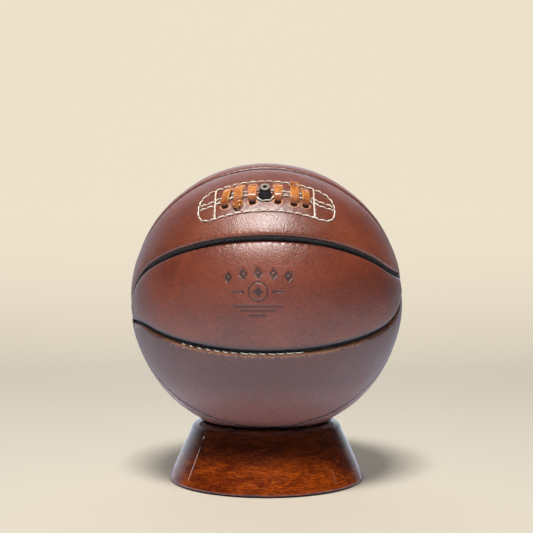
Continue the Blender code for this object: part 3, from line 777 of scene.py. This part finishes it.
def make_welt(index, material):
    u = np.linspace(-0.995, 0.995, 640)
    places, sideways = seam_frames(index, u)
    sunk = 0.5 * np.exp(-ridge_distance(places) / 3.0) + WELT_SINK.get(index, 0.0)
    shift = 0.6 * SEAM_UP if index == 1 else 0.0
    below, above = GORES[index - 1], GORES[index]
    welt_strip(
        f"welt_strip_{below}_{above}", f"welt_{below}_to_{above}", places, sideways, sunk, 20.0 + index,
        material, shift,
    )


def make_end_welt(name, side, material):
    ridge = flat(RIDGE_TURN[side])
    reach = np.linspace(-RIDGE_HALF - 0.8, RIDGE_HALF + 0.8, 70)
    places = cap_direction(side, reach[:, None] * ridge)
    turn = math.radians(RIDGE_TURN[side])
    sideways = np.tile(np.array([0.0, math.sin(turn), math.cos(turn)]), (len(reach), 1))
    sunk = 0.0 * reach
    welt_strip(f"end_strip_{name}", f"end_welt_{name}", places, sideways, sunk, 40.0 + side, material)


# Threads and lace ----------------------------------------------------------------------------------


def sweep(path, wide, half_width, half_thick, corners, power, twist=None):
    """Rings of a rounded strip along a path, with its wide direction given at each point. A twist, as
    an angle at each point, gives it the swells of a two-ply thread."""
    heading = unit(np.gradient(path, axis=0))
    wide = unit(wide - heading * (wide * heading).sum(-1, keepdims=True))
    thick = np.cross(heading, wide)
    angles = circle(corners)
    across, upward = (
        np.sign(wave) * np.abs(wave) ** power for wave in (np.cos(angles), np.sin(angles))
    )
    swell = np.ones((len(path), corners))
    if twist is not None:
        swell = 1.0 + 0.2 * np.cos(2.0 * (angles[None] - twist[:, None]))
    return (
        path[:, None]
        + wide[:, None] * (across[None] * half_width[:, None] * swell)[..., None]
        + thick[:, None] * (upward[None] * half_thick[:, None] * swell)[..., None]
    )


def make_stitches(name, stitches, radius_of_thread, material):
    """Separate stitches of two-ply thread, each rising out of one hole and into the next."""
    rng = random.Random(name)
    strands = []
    for stitch in stitches:
        t = np.linspace(0.0, 1.0, len(stitch))
        along = stitch[:, 0] + rng.uniform(-0.15, 0.15)
        across = stitch[:, 1] + rng.uniform(-0.3, 0.3) * (t - 0.5) + rng.uniform(-0.12, 0.12)
        lift = 2.0 * radius_of_thread + 0.15
        arch = lift * np.sin(math.pi * t) ** 0.5 - 0.6 * lift + rng.uniform(-0.06, 0.06)
        path = lace_points(along, across, opening_relief(along, across) + arch)
        strands.append(strand(path, radius_of_thread * rng.uniform(0.9, 1.08), rng))
    show_for(join_strands(f"{name}_thread", strands, material), name)


def strand(path, radius, rng):
    """Rings of one stitch of twisted thread that tapers into its holes."""
    t = np.linspace(0.0, 1.0, len(path))
    length = np.linalg.norm(path[-1] - path[0])
    twist = 2.0 * math.pi * t * length / 3.0 + rng.uniform(0.0, 3.0)
    taper = radius * (0.72 + 0.28 * np.sin(math.pi * t) ** 0.4)
    return sweep(path, unit(path), taper, taper, 12, 1.0, twist)


def join_strands(name, strands, material):
    """One object from the rings of many strands."""
    rings, corners = strands[0].shape[:2]
    faces = [
        face for number in range(len(strands))
        for face in ring_faces(rings, corners, number * rings * corners)
    ]
    return to_object(name, np.concatenate(strands), faces, material)


def make_seam_stitches(material):
    """The sewing thread that shows between the front gore and the raw edge under it."""
    rng = random.Random(3)
    strands = []
    for number in range(14):
        start = -73.0 + number * 7.4 + rng.uniform(-0.4, 0.4)
        length = 2.6 + 3.2 * min(1.0, number / 7.0) + rng.uniform(-0.5, 0.5)
        t = np.linspace(0.0, 1.0, 13)
        places, sideways = seam_frames(0, (start + length * t) * SEAM_SHARE_PER_MM)
        beside = 0.9 + (0.9 - 0.06 * number) * t + rng.uniform(-0.12, 0.12)
        height = -2.6 + 1.0 * np.sin(math.pi * t) ** 0.6
        path = places * (BALL_R + height)[:, None] - sideways * SEAM_UP * beside[:, None]
        strands.append(strand(path, 0.42, rng))
    join_strands("seam_thread", strands, material)


def lace_route(number):
    """Points on the inside between one bridge's lower hole and the upper hole of bridge `number`."""
    upper = BRIDGES[number][1]
    if number == 0:
        return [(upper[0] - 1.5, upper[1] - 9.0)]
    before = BRIDGES[number - 1][0]
    if before[0] < VALVE_ALONG < upper[0]:
        return [(before[0] + 0.8, VALVE_ACROSS + 2.0), (VALVE_ALONG - 2.3, VALVE_ACROSS + 11.3)]
    return [((before[0] + upper[0]) / 2.0, (before[1] + upper[1]) / 2.0)]


def lace_controls():
    """Control points of the thong as (along, across, height, width, roll, shade)."""
    inside = LACE_INSIDE_HEIGHT
    rows = []

    def add(place, height, width=LACE_NECK, roll=0.0, shade=0.0):
        rows.append((*place, height, width, roll, shade))

    for number, (lower, upper, width, roll) in enumerate(BRIDGES):
        down = np.array([0.0, -1.0])
        top = np.array(upper) + down * LACE_HUG
        bottom = np.array(lower) - down * LACE_HUG
        for place in lace_route(number):
            add(place, inside)
        add(top + down * 0.8, inside)
        add(top - down * 0.3, inside + 2.2)
        add(top - down * 0.4, -1.2)
        add(top - down * 0.1, 0.7, width * 0.86, roll * 0.3)
        add(top + down * 2.0, LACE_RISE - 0.3, width * 0.95, roll)
        # The last column is painted shade, darker towards the strap's lower end, where it curves down into
        # its hole
        for share, shade in ((0.3, 0.0), (0.55, 0.1), (0.75, 0.5)):
            swell = 0.35 * math.sin(math.pi * share)
            add(top + (bottom - top) * share, LACE_RISE + swell, width, roll, shade)
        add(bottom - down * 2.2, LACE_RISE - 0.6, width * 0.95, roll * 0.6, 0.9)
        add(bottom - down * 0.4, 0.4, width * 0.8, roll * 0.2, 1.0)
        add(bottom, -1.6, shade=1.0)
        add(bottom, inside + 2.2)
        add(bottom - down * 1.0, inside)
    last = BRIDGES[-1][0]
    add((last[0] + 1.5, last[1] + 9.0), inside)
    return np.array(rows)


def catmull(rows, steps):
    """A smooth curve through the rows, with `steps` points for each stretch between two of them."""
    padded = np.vstack([2 * rows[0] - rows[1], rows, 2 * rows[-1] - rows[-2]])
    parts = []
    for a, b, c, d in zip(padded, padded[1:], padded[2:], padded[3:]):
        for step in range(steps):
            t = step / steps
            parts.append(0.5 * (
                2 * b + (c - a) * t + (2 * a - 5 * b + 4 * c - d) * t ** 2 + (3 * b - a - 3 * c + d) * t ** 3
            ))
    parts.append(rows[-1])
    return np.array(parts)


def make_lace(material):
    curve = catmull(lace_controls(), 9)
    path = lace_points(curve[:, 0], curve[:, 1], curve[:, 2])
    roll = np.radians(curve[:, 4])[:, None]
    wide = np.cos(roll) * np.array([1.0, 0.0, 0.0]) + np.sin(roll) * unit(path)
    pinch = np.clip((curve[:, 3] - LACE_NECK) / (6.4 - LACE_NECK), 0.0, 1.2)
    thick = LACE_THICKNESS * (1.1 - 0.1 * pinch) / 2.0
    corners = 24
    points = sweep(path, wide, curve[:, 3] / 2.0, thick, corners, 0.38).reshape(-1, 3)
    flutter = fractal(unit(points), 30.0, 2, 70.0) * 0.16
    points = points * (1.0 + flutter / BALL_R)[:, None]
    made = to_object("thong", points, ring_faces(len(path), corners), material)
    store(made, "rim", np.tile(np.abs(np.cos(circle(corners))) ** 5.0, len(path)))
    # Painted shade where the thong dips below the leather into its holes
    store(made, "painted_low_shade", np.repeat(ramp(curve[:, 2], 0.9, -0.7), corners))
    store(made, "shade", np.repeat(curve[:, 5], corners))
    show_for(made, "lace")


def make_knot(name, place, size, turn, shade, material):
    """A small flat knot at a tail of the thong, tied close against the leather."""
    steps, corners, overlap = 150, 12, 2
    t = circle(steps)
    t = np.concatenate([t[-overlap:], t, t[:overlap]])
    reach = (2.15 + 1.2 * np.cos(3.0 * t)) * size
    beside, upward = reach * np.cos(2.0 * t), 0.82 * reach * np.sin(2.0 * t)
    lean = math.radians(turn)
    along = place[0] + beside * math.cos(lean) - upward * math.sin(lean)
    across = place[1] + beside * math.sin(lean) + upward * math.cos(lean)
    path = lace_points(along, across, (0.85 * np.sin(3.0 * t) + 2.3) * size)
    half = np.full(len(t), 0.6 * size)
    points = sweep(path, unit(path), 0.75 * half, half, corners, 0.65)[overlap:-overlap].reshape(-1, 3)
    made = to_object(name, points, ring_faces(steps, corners, closed=True), material)
    # Painted shade on the knot's lowest strands, next to the leather
    low = ramp(np.linalg.norm(points, axis=1), BALL_R + 2.4, BALL_R) ** 0.7
    store(made, "rim", np.tile(np.abs(np.sin(circle(corners))) ** 6.0, steps))
    store(made, "painted_low_shade", low)
    store(made, "shade", np.full(len(low), shade))


# Valve ---------------------------------------------------------------------------------------------


def make_valve(rubber, plug_skin):
    matrix = upright(VALVE_ALONG, VALVE_ACROSS)
    stem = turned("rubber_stem", [
        (STEM_BORE_R, STEM_TOP - 0.2), (STEM_BORE_R + 0.3, STEM_TOP), (STEM_TOP_R - 0.7, STEM_TOP),
        (STEM_TOP_R - 0.2, STEM_TOP - 0.15), (STEM_TOP_R, STEM_TOP - 0.6), (STEM_TOP_R, STEM_TOP - 2.2),
        (STEM_TOP_R + 0.05, STEM_TOP - 3.4), (STEM_R - 0.1, BALL_R + 2.2), (STEM_R + 0.1, BALL_R + 1.2),
        (STEM_R + 0.15, BALL_R + 0.2), (STEM_R, BALL_R - 1.0), (STEM_R, STEM_BOTTOM),
        (STEM_BORE_R, STEM_BOTTOM),
    ], 64, rubber, "ball", matrix)
    show_for(stem, "valve_stem", 50.0)
    under = STEM_TOP + 0.3
    top = under + PLUG_HEAD
    end = top - PLUG_LENGTH
    plug = turned("needle_plug", [
        (NEEDLE_R, top - 1.2), (NEEDLE_R + 0.1, top - 0.55), (NEEDLE_R + 0.25, top - 0.15),
        (NEEDLE_R + 0.6, top), (PLUG_R - 0.8, top), (PLUG_R - 0.2, top - 0.2), (PLUG_R, top - 0.55),
        (PLUG_R, under + 0.2), (PLUG_R - 0.25, under), (PLUG_SHANK_R, under), (PLUG_SHANK_R, end),
        (NEEDLE_R, end),
    ], 64, plug_skin, "valve_plug", matrix)
    points = vertex_array(plug)
    height = points @ matrix[:, 2]
    beside = np.linalg.norm(points - height[:, None] * matrix[:, 2], axis=1)
    store(plug, "face", (height > top - 0.5) & (beside > NEEDLE_R + 0.3))
    show_for(plug, "valve_plug", 50.0)


# Stand ---------------------------------------------------------------------------------------------


def arc(centre, radius, start, end, steps):
    angles = np.radians(np.linspace(start, end, steps + 1))
    return [(centre[0] + radius * math.cos(a), centre[1] + radius * math.sin(a)) for a in angles]


def between(start, end, steps):
    """Points inside the straight line between two points."""
    shares = np.linspace(0.0, 1.0, steps)[1:-1, None]
    return [tuple(point) for point in np.array(start) * (1.0 - shares) + np.array(end) * shares]


def stand_profile():
    """From the middle of the dished seat, over the rim and down the cone to the underside."""
    centre_height = CENTRE.z / MM
    bowl = BALL_R + 0.35
    seat = [(r, centre_height - math.sqrt(bowl ** 2 - r ** 2)) for r in np.linspace(0, 53, 18)]
    crest_r = 58.5
    lip = [(crest_r - 3.6, STAND_TOP - 0.55), (crest_r - 2.0, STAND_TOP - 0.1), (crest_r, STAND_TOP)]
    rim_r = 66.5
    rim = (rim_r, STAND_TOP - 6.7)
    corner = (rim_r - 1.3, STAND_TOP - 0.5)
    t = np.linspace(0.0, 1.0, 14)[1:, None]
    shoulder = (1 - t) ** 2 * np.array(lip[-1]) + 2 * t * (1 - t) * np.array(corner) + t ** 2 * np.array(rim)
    edge = 1.6
    underside = FELT + 0.3
    foot = arc((STAND_R - edge, underside + edge), edge, 20.0, -90.0, 12)
    return [*seat, *lip, *map(tuple, shoulder), *between(rim, foot[0], 10), *foot, (0.0, underside)]


def make_stand(wood, felt):
    stand = turned("turned_stand", stand_profile(), 256, wood, "stand")
    points = vertex_array(stand)
    store(stand, "polish", np.clip((np.hypot(points[:, 0], points[:, 1]) - 56.0) / 3.0, 0.05, 1.0))
    show_for(stand, "stand", 50.0)
    pad = turned("felt_pad", [
        (0.0, FELT), (FELT_R - 0.2, FELT), (FELT_R, FELT - 0.2), (FELT_R, 0.2), (FELT_R - 0.2, 0.0),
        (0.0, 0.0),
    ], 128, felt, "stand")
    show_for(pad, "base_felt", 50.0)


# Materials -----------------------------------------------------------------------------------------


class Nodes:
    """Short calls for building a node tree."""

    def __init__(self, owner, place):
        owner.use_nodes = True
        self.tree = owner.node_tree
        self.place = self.node("TexCoord").outputs[place]

    def node(self, kind, setting=None, **inputs):
        """A node of a kind, with one setting as (name, value), and inputs that have one-word names."""
        made = self.tree.nodes.new(f"ShaderNode{kind}")
        if setting:
            setattr(made, *setting)
        for name, value in inputs.items():
            self.feed(made.inputs[name], value)
        return made

    def feed(self, target, value):
        if isinstance(value, bpy.types.NodeSocket):
            self.tree.links.new(value, target)
        elif isinstance(value, tuple) and target.type == "RGBA":
            target.default_value = (*value, 1.0)
        else:
            target.default_value = value

    def feed_all(self, node, values):
        for target, value in zip(node.inputs, values):
            self.feed(target, value)
        return node

    def noise(self, scale, detail=3.0, roughness=0.55, distortion=0.0, place=None):
        return self.node(
            "TexNoise", Vector=place or self.place, Scale=scale, Detail=detail, Roughness=roughness,
            Distortion=distortion,
        ).outputs["Fac"]

    def warp(self, amount, scale):
        """Object coordinates pushed about by noise, which breaks up even cells."""
        push = self.node("VectorMath", ("operation", "MULTIPLY_ADD"))
        clouds = self.node("TexNoise", Vector=self.place, Scale=scale)
        return self.feed_all(push, (clouds.outputs["Color"], (amount,) * 3, self.place)).outputs[0]

    def cells(self, scale, place):
        """Distance to the middle of the nearest cell, blended over the cells' borders."""
        made = self.node("TexVoronoi", ("feature", "SMOOTH_F1"), Vector=place, Scale=scale)
        return made.outputs["Distance"]

    def stretch(self, scale):
        return self.node("Mapping", Vector=self.place, Scale=scale).outputs["Vector"]

    def axis(self, name):
        return self.node("SeparateXYZ", Vector=self.place).outputs[name]

    def attribute(self, name):
        return self.node("Attribute", ("attribute_name", name)).outputs["Fac"]

    def seen(self):
        """1 for rays from the camera and 0 for all others."""
        return self.node("LightPath").outputs["Is Camera Ray"]

    def math(self, operation, first, second):
        made = self.node("Math", ("operation", operation))
        return self.feed_all(made, (first, second)).outputs[0]

    def times(self, first, second):
        return self.math("MULTIPLY", first, second)

    def remap(self, value, low, high, out_low=0.0, out_high=1.0):
        made = self.node("MapRange", ("interpolation_type", "SMOOTHSTEP"))
        return self.feed_all(made, (value, low, high, out_low, out_high)).outputs[0]

    def mix(self, share, first, second):
        made = self.node("Mix", ("data_type", "RGBA"))
        for slot, value in ((0, share), (6, first), (7, second)):
            self.feed(made.inputs[slot], value)
        return made.outputs[2]

    def paint(self, color, layers):
        """The colour under layers of (share, tint)."""
        for share, tint in layers:
            color = self.mix(share, color, tint)
        return color

    def bump(self, height, strength, distance, normal=None):
        made = self.node("Bump", Height=height, Strength=strength, Distance=distance)
        if normal is not None:
            self.feed(made.inputs["Normal"], normal)
        return made.outputs["Normal"]


class Skin(Nodes):
    """A material for a surface, built with `finish` as the last call."""

    def __init__(self, name):
        self.material = bpy.data.materials.new(name)
        super().__init__(self.material, "Object")

    def finish(self, color, roughness, normal=None, **others):
        shader = self.tree.nodes["Principled BSDF"]
        given = {"Base Color": color, "Roughness": roughness, **others}
        if normal is not None:
            given["Normal"] = normal
        for name, value in given.items():
            self.feed(shader.inputs[name.replace("_", " ")], value)
        return self.material


def leather_material():
    n = Skin("chestnut_leather")
    mottle = n.noise(22.0, 5.0, 0.6, 0.5)
    cloud = n.noise(7.0, 2.0, 0.5)
    pebble = n.cells(860.0, n.warp(0.0009, 400.0))
    speck = n.noise(900.0, 3.0, 0.7)
    # Along each gore's upper edge: smoother leather, and a painted highlight that lightens and greys the
    # colour
    burnish_and_painted_highlight = n.remap(n.attribute("upper"), 3.6, 6.5, 1.0, 0.0)
    raw = n.attribute("raw")
    cut_edge = n.mix(n.remap(speck, 0.4, 0.6), (0.3, 0.09, 0.03), (0.8, 0.36, 0.15))
    color = n.paint(n.mix(n.remap(mottle, 0.33, 0.7), (0.18, 0.03, 0.0095), (0.28, 0.05, 0.0155)), [
        (n.remap(cloud, 0.38, 0.68, 0.0, 0.7), (0.19, 0.032, 0.011)),
        (n.times(n.attribute("tone"), 0.7), (0.085, 0.026, 0.018)),
        # Lighter worn band by the lower seam, partly painted light on the bottom gore
        (n.times(n.attribute("wear_and_painted_light"), n.remap(mottle, 0.3, 0.65, 0.25, 0.9)), (0.42, 0.11, 0.042)),
        # Painted reflection of the floor over the underside
        (n.times(n.attribute("painted_floor_sheen"), 0.7), (0.4, 0.17, 0.14)),
        (n.times(n.attribute("dye"), 0.92), (0.022, 0.021, 0.023)),
        # Painted highlight along the upper edge
        (n.times(burnish_and_painted_highlight, 0.4), (0.16, 0.08, 0.075)),
        (n.remap(pebble, 0.3, 0.8, 0.0, 0.6), (0.05, 0.015, 0.011)),
        (n.remap(speck, 0.54, 0.68, 0.0, 0.4), (0.05, 0.014, 0.01)),
        (n.remap(speck, 0.46, 0.32, 0.0, 0.4), (0.36, 0.09, 0.035)),
        (n.times(n.attribute("mark"), 0.9), (0.022, 0.01, 0.007)),
        (raw, cut_edge),
    ])
    height = n.math("SUBTRACT", n.times(speck, 0.6), pebble)
    normal = n.bump(height, 0.5, 0.00045)
    creases = n.noise(110.0, 6.0, 0.7, 0.6)
    normal = n.bump(creases, 0.05, 0.002, normal)
    roughness = n.math("ADD", n.remap(mottle, 0.3, 0.7, 0.38, 0.45), n.times(raw, 0.4))
    roughness = n.math("SUBTRACT", roughness, n.times(burnish_and_painted_highlight, 0.2))
    return n.finish(color, roughness, normal, IOR=1.5, Specular_IOR_Level=1.0)


def welt_material():
    n = Skin("black_welt")
    fibre = n.noise(800.0, 5.0, 0.7)
    patch = n.noise(120.0, 3.0, 0.5)
    color = n.mix(n.remap(fibre, 0.42, 0.66), (0.004, 0.004, 0.0045), (0.03, 0.03, 0.033))
    normal = n.bump(fibre, 1.0, 0.0011)
    return n.finish(color, n.remap(patch, 0.3, 0.7, 0.6, 0.8), normal, Specular_IOR_Level=0.35)


def thread_material():
    n = Skin("cream_thread")
    fuzz = n.noise(2600.0, 3.0, 0.6)
    stain = n.noise(110.0, 3.0, 0.6)
    color = n.mix(n.remap(stain, 0.42, 0.72), (1.0, 0.93, 0.78), (0.8, 0.63, 0.43))
    normal = n.bump(fuzz, 0.45, 0.0002)
    return n.finish(color, 0.75, normal)


def thong_material():
    n = Skin("tan_thong")
    mottle = n.noise(210.0, 4.0, 0.6, 0.5)
    fibre = n.noise(1200.0, 4.0, 0.65)
    color = n.paint(n.mix(n.remap(mottle, 0.32, 0.68), (0.46, 0.12, 0.012), (0.7, 0.235, 0.026)), [
        # Painted shade towards each strap's lower end, and an even darkening of each knot
        (n.times(n.attribute("shade"), 0.7), (0.2, 0.03, 0.008)),
        (n.times(n.attribute("rim"), 0.85), (0.88, 0.5, 0.15)),
        # Painted shade on the low parts of the thong and knots
        (n.attribute("painted_low_shade"), (0.045, 0.012, 0.004)),
    ])
    normal = n.bump(n.math("ADD", fibre, n.times(mottle, 0.8)), 0.5, 0.0006)
    roughness = n.remap(mottle, 0.3, 0.7, 0.36, 0.52)
    return n.finish(color, roughness, normal, Coat_Weight=0.5, Coat_Roughness=0.22)


def rubber_material(name, low, high, roughness):
    n = Skin(name)
    dust = n.noise(340.0, 4.0, 0.6)
    color = n.mix(n.remap(dust, 0.4, 0.7), low, high)
    normal = n.bump(n.noise(900.0, 3.0, 0.6), 0.3, 0.0003)
    return n.finish(color, roughness, normal)


def plug_material():
    """Grey on the face that is handled, and black down the sides."""
    n = Skin("worn_plug")
    dust = n.noise(900.0, 4.0, 0.65)
    face = n.mix(n.remap(dust, 0.35, 0.65), (0.13, 0.11, 0.08), (0.4, 0.35, 0.27))
    color = n.mix(n.attribute("face"), (0.012, 0.012, 0.012), face)
    return n.finish(color, 0.55, n.bump(dust, 0.4, 0.0003))


def cloth_material():
    n = Skin("cotton_lining")
    first = n.noise(1.0, 1.0, 0.5, 0.0, n.stretch((1800.0, 260.0, 260.0)))
    second = n.noise(1.0, 1.0, 0.5, 0.0, n.stretch((260.0, 1800.0, 1800.0)))
    weave = n.math("MAXIMUM", first, second)
    color = n.mix(n.remap(weave, 0.4, 0.7), (0.4, 0.33, 0.23), (0.6, 0.52, 0.38))
    return n.finish(color, 0.92, n.bump(weave, 0.5, 0.0004))


def wood_material():
    n = Skin("polished_mahogany")
    flame = n.noise(1.0, 3.0, 0.6, 1.5, n.stretch((22.0, 22.0, 75.0)))
    fleck = n.noise(1.0, 5.0, 0.68, 1.6, n.stretch((110.0, 110.0, 800.0)))
    pores = n.noise(1.0, 2.0, 0.6, 0.0, n.stretch((330.0, 330.0, 2400.0)))
    color = n.paint(n.mix(n.remap(flame, 0.34, 0.66), (0.14, 0.017, 0.0015), (0.37, 0.058, 0.0035)), [
        (n.remap(fleck, 0.47, 0.62, 0.0, 0.8), (0.085, 0.01, 0.001)),
        (n.remap(fleck, 0.46, 0.36, 0.0, 0.6), (0.55, 0.12, 0.008)),
        (n.remap(pores, 0.58, 0.7, 0.0, 0.6), (0.02, 0.004, 0.001)),
        # Painted shade: darker towards the top of the stand, under the ball
        (n.remap(n.axis("Z"), 0.02, 0.04, 0.0, 0.7), (0.03, 0.006, 0.002)),
    ])
    return n.finish(
        color, 0.5, Coat_Weight=n.attribute("polish"), Coat_Roughness=0.05, Coat_IOR=1.55,
        Specular_IOR_Level=0.05,
    )


def felt_material():
    n = Skin("dark_felt")
    fuzz = n.noise(1400.0, 4.0, 0.7)
    color = n.mix(n.remap(fuzz, 0.35, 0.7), (0.012, 0.01, 0.009), (0.04, 0.034, 0.028))
    return n.finish(color, 0.95, n.bump(fuzz, 0.8, 0.0006), Sheen_Weight=0.4)


def floor_material():
    """Cream to the camera, and a cooler grey where it lights the ball."""
    n = Skin("pale_floor")
    seen = n.seen()
    far = n.times(n.remap(n.axis("Y"), 0.5, 1.9, 0.12, 0.9), seen)
    color = n.mix(seen, (0.72, 0.78, 0.9), (0.66, 0.6, 0.5))
    color = n.mix(far, color, (0.0, 0.0, 0.0))
    glow = n.mix(seen, (0.6, 0.72, 0.95), (0.9, 0.8, 0.63))
    strength = n.math("ADD", far, n.times(n.math("SUBTRACT", 1.0, seen), 0.1))
    return n.finish(color, 0.9, Specular_IOR_Level=0.1, Emission_Color=glow, Emission_Strength=strength)


def dress_frame(skins):
    """Gives the CAD nodes that stay visible their finished materials."""
    for name, skin in skins.items():
        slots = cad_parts[name].data.materials
        slots.clear()
        slots.append(skin)


# Studio --------------------------------------------------------------------------------------------


def sheet(name, profile, half_width, skin):
    """A sheet that is level along X, from a profile of (y, z) in metres."""
    points, faces = [], []
    for y, z in profile:
        points += [(-half_width, y, z), (half_width, y, z)]
    for row in range(len(profile) - 1):
        faces.append((2 * row, 2 * row + 1, 2 * row + 3, 2 * row + 2))
    made = new_object(name, points, faces)
    made.data.shade_smooth()
    made.data.materials.append(skin)
    return made


def make_floor():
    """A pale floor that curves up into a backdrop. Only the camera sees the backdrop."""
    skin = floor_material()
    start, bend, height = 1.0, 1.4, 4.0
    sheet("studio_floor", [(-3.0, 0.0), (start, 0.0)], 4.0, skin)
    curve = [(start + y, bend + z) for y, z in arc((0.0, 0.0), bend, -90.0, 0.0, 31)]
    backdrop = sheet("studio_backdrop", [*curve, (start + bend, height)], 4.0, skin)
    for ray in ("visible_diffuse", "visible_glossy", "visible_transmission", "visible_shadow"):
        setattr(backdrop, ray, False)


def area_light(name, place, target, size, power, color):
    data = bpy.data.lights.new(name, "AREA")
    data.shape = "RECTANGLE"
    data.size, data.size_y = size
    data.energy = power
    data.color = color
    light = bpy.data.objects.new(name, data)
    light.location = place
    aim = Vector(target) - Vector(place)
    light.rotation_euler = aim.to_track_quat("-Z", "Y").to_euler()
    bpy.context.scene.collection.objects.link(light)
    return light


def make_world():
    """Cool light from behind, weaker on the right, and a dim front. The camera sees a plain cream."""
    world = bpy.data.worlds.new("studio")
    n = Nodes(world, "Generated")
    behind = n.node("VectorMath", ("operation", "DOT_PRODUCT"))
    n.feed_all(behind, (n.place, (-0.14, 0.99, 0.0)))
    light = n.tree.nodes["Background"]
    n.feed_all(light, ((0.8, 0.88, 1.0), n.remap(behind.outputs["Value"], 0.45, 0.97, 0.02, 1.0)))
    plain = n.node("Background", Color=(0.86, 0.77, 0.61))
    choice = n.feed_all(n.node("MixShader"), (n.seen(), light.outputs[0], plain.outputs[0]))
    n.feed(n.tree.nodes["World Output"].inputs["Surface"], choice.outputs[0])
    bpy.context.scene.world = world


def strip_light(name, high, low, target, width, power):
    """A narrow light between two points, which leaves a thin streak on the lacquer."""
    middle = (Vector(high) + Vector(low)) / 2.0
    lengthwise = (Vector(high) - Vector(low)).normalized()
    facing = (middle - Vector(target)).normalized()
    facing = (facing - lengthwise * facing.dot(lengthwise)).normalized()
    light = area_light(
        name, middle, target, (width, (Vector(high) - Vector(low)).length), power, (0.95, 0.97, 1.0),
    )
    turn = Matrix((lengthwise.cross(facing), lengthwise, facing)).transposed()
    light.rotation_euler = turn.to_euler()


def make_studio():
    make_world()
    around = math.radians(-7.0)
    up = math.radians(65.0)
    key_place = CENTRE + 2.6 * Vector((
        math.sin(around) * math.cos(up), -math.cos(around) * math.cos(up), math.sin(up),
    ))
    area_light("key", key_place, CENTRE, (0.72, 0.58), 85.0, (1.0, 0.98, 0.95))
    area_light("back_top", CENTRE + Vector((0.0, 1.3, 1.0)), CENTRE, (1.6, 0.8), 4.0, (0.86, 0.92, 1.0))
    left, right = (-0.059, -0.046, 0.027), (0.054, -0.056, 0.02)
    strip_light("left_strip", (-1.391, 0.464, 0.496), (-1.42, 0.444, 0.421), left, 0.018, 0.035)
    strip_light("right_strip", (1.438, 0.069, 0.588), (1.456, 0.053, 0.538), right, 0.02, 0.006)


def make_camera():
    data = bpy.data.cameras.new("camera")
    ball_share = 0.25572  # the ball's apparent radius as a share of the picture's width
    data.sensor_width = 36.0
    data.lens = ball_share * data.sensor_width * math.sqrt(CAMERA_DISTANCE ** 2 / BALL_R ** 2 - 1.0)
    data.shift_y = 0.06098  # the ball's centre below the picture's, as a share of its width
    data.clip_end = 50.0
    camera = bpy.data.objects.new("camera", data)
    rise = math.radians(CAMERA_RISE)
    camera.location = CENTRE + Vector((0.0, -math.cos(rise), math.sin(rise))) * CAMERA_DISTANCE * MM
    camera.rotation_euler = (CENTRE - camera.location).to_track_quat("-Z", "Y").to_euler()
    bpy.context.scene.collection.objects.link(camera)
    bpy.context.scene.camera = camera


def main():
    leather = leather_material()
    black = welt_material()
    cotton = thread_material()
    tan = thong_material()
    rubber = rubber_material("black_rubber", (0.01, 0.01, 0.01), (0.03, 0.028, 0.026), 0.55)
    plug_skin = plug_material()
    cloth = cloth_material()

    for index in range(len(GORES)):
        make_gore(index, leather)
        make_welt(index, black)
    make_end_welt("left", -1, black)
    make_end_welt("right", 1, black)
    make_seam_stitches(cotton)
    for name, stitches in ROWS.items():
        thickness = BAR_THREAD_R if name.startswith("bar") else THREAD_R
        make_stitches(name, stitches, thickness, cotton)
    make_lace(tan)
    make_knot("lace_knot_lower", (-22.8, -10.9), 1.16, 20.0, 0.1, tan)
    make_knot("lace_knot_upper", (21.9, 13.4), 1.25, -15.0, 0.6, tan)
    make_valve(rubber, plug_skin)
    make_stand(wood_material(), felt_material())

    inside = {f"lining_{name}": cloth for name in GORES}
    inside |= {"opening_patch": leather, "tongue": tan}
    inside |= {name: rubber for name in ("bladder", "bladder_patch", "valve_core")}
    dress_frame(inside)

    make_floor()
    make_studio()
    make_camera()
    bpy.context.scene.view_settings.view_transform = "Standard"


main()
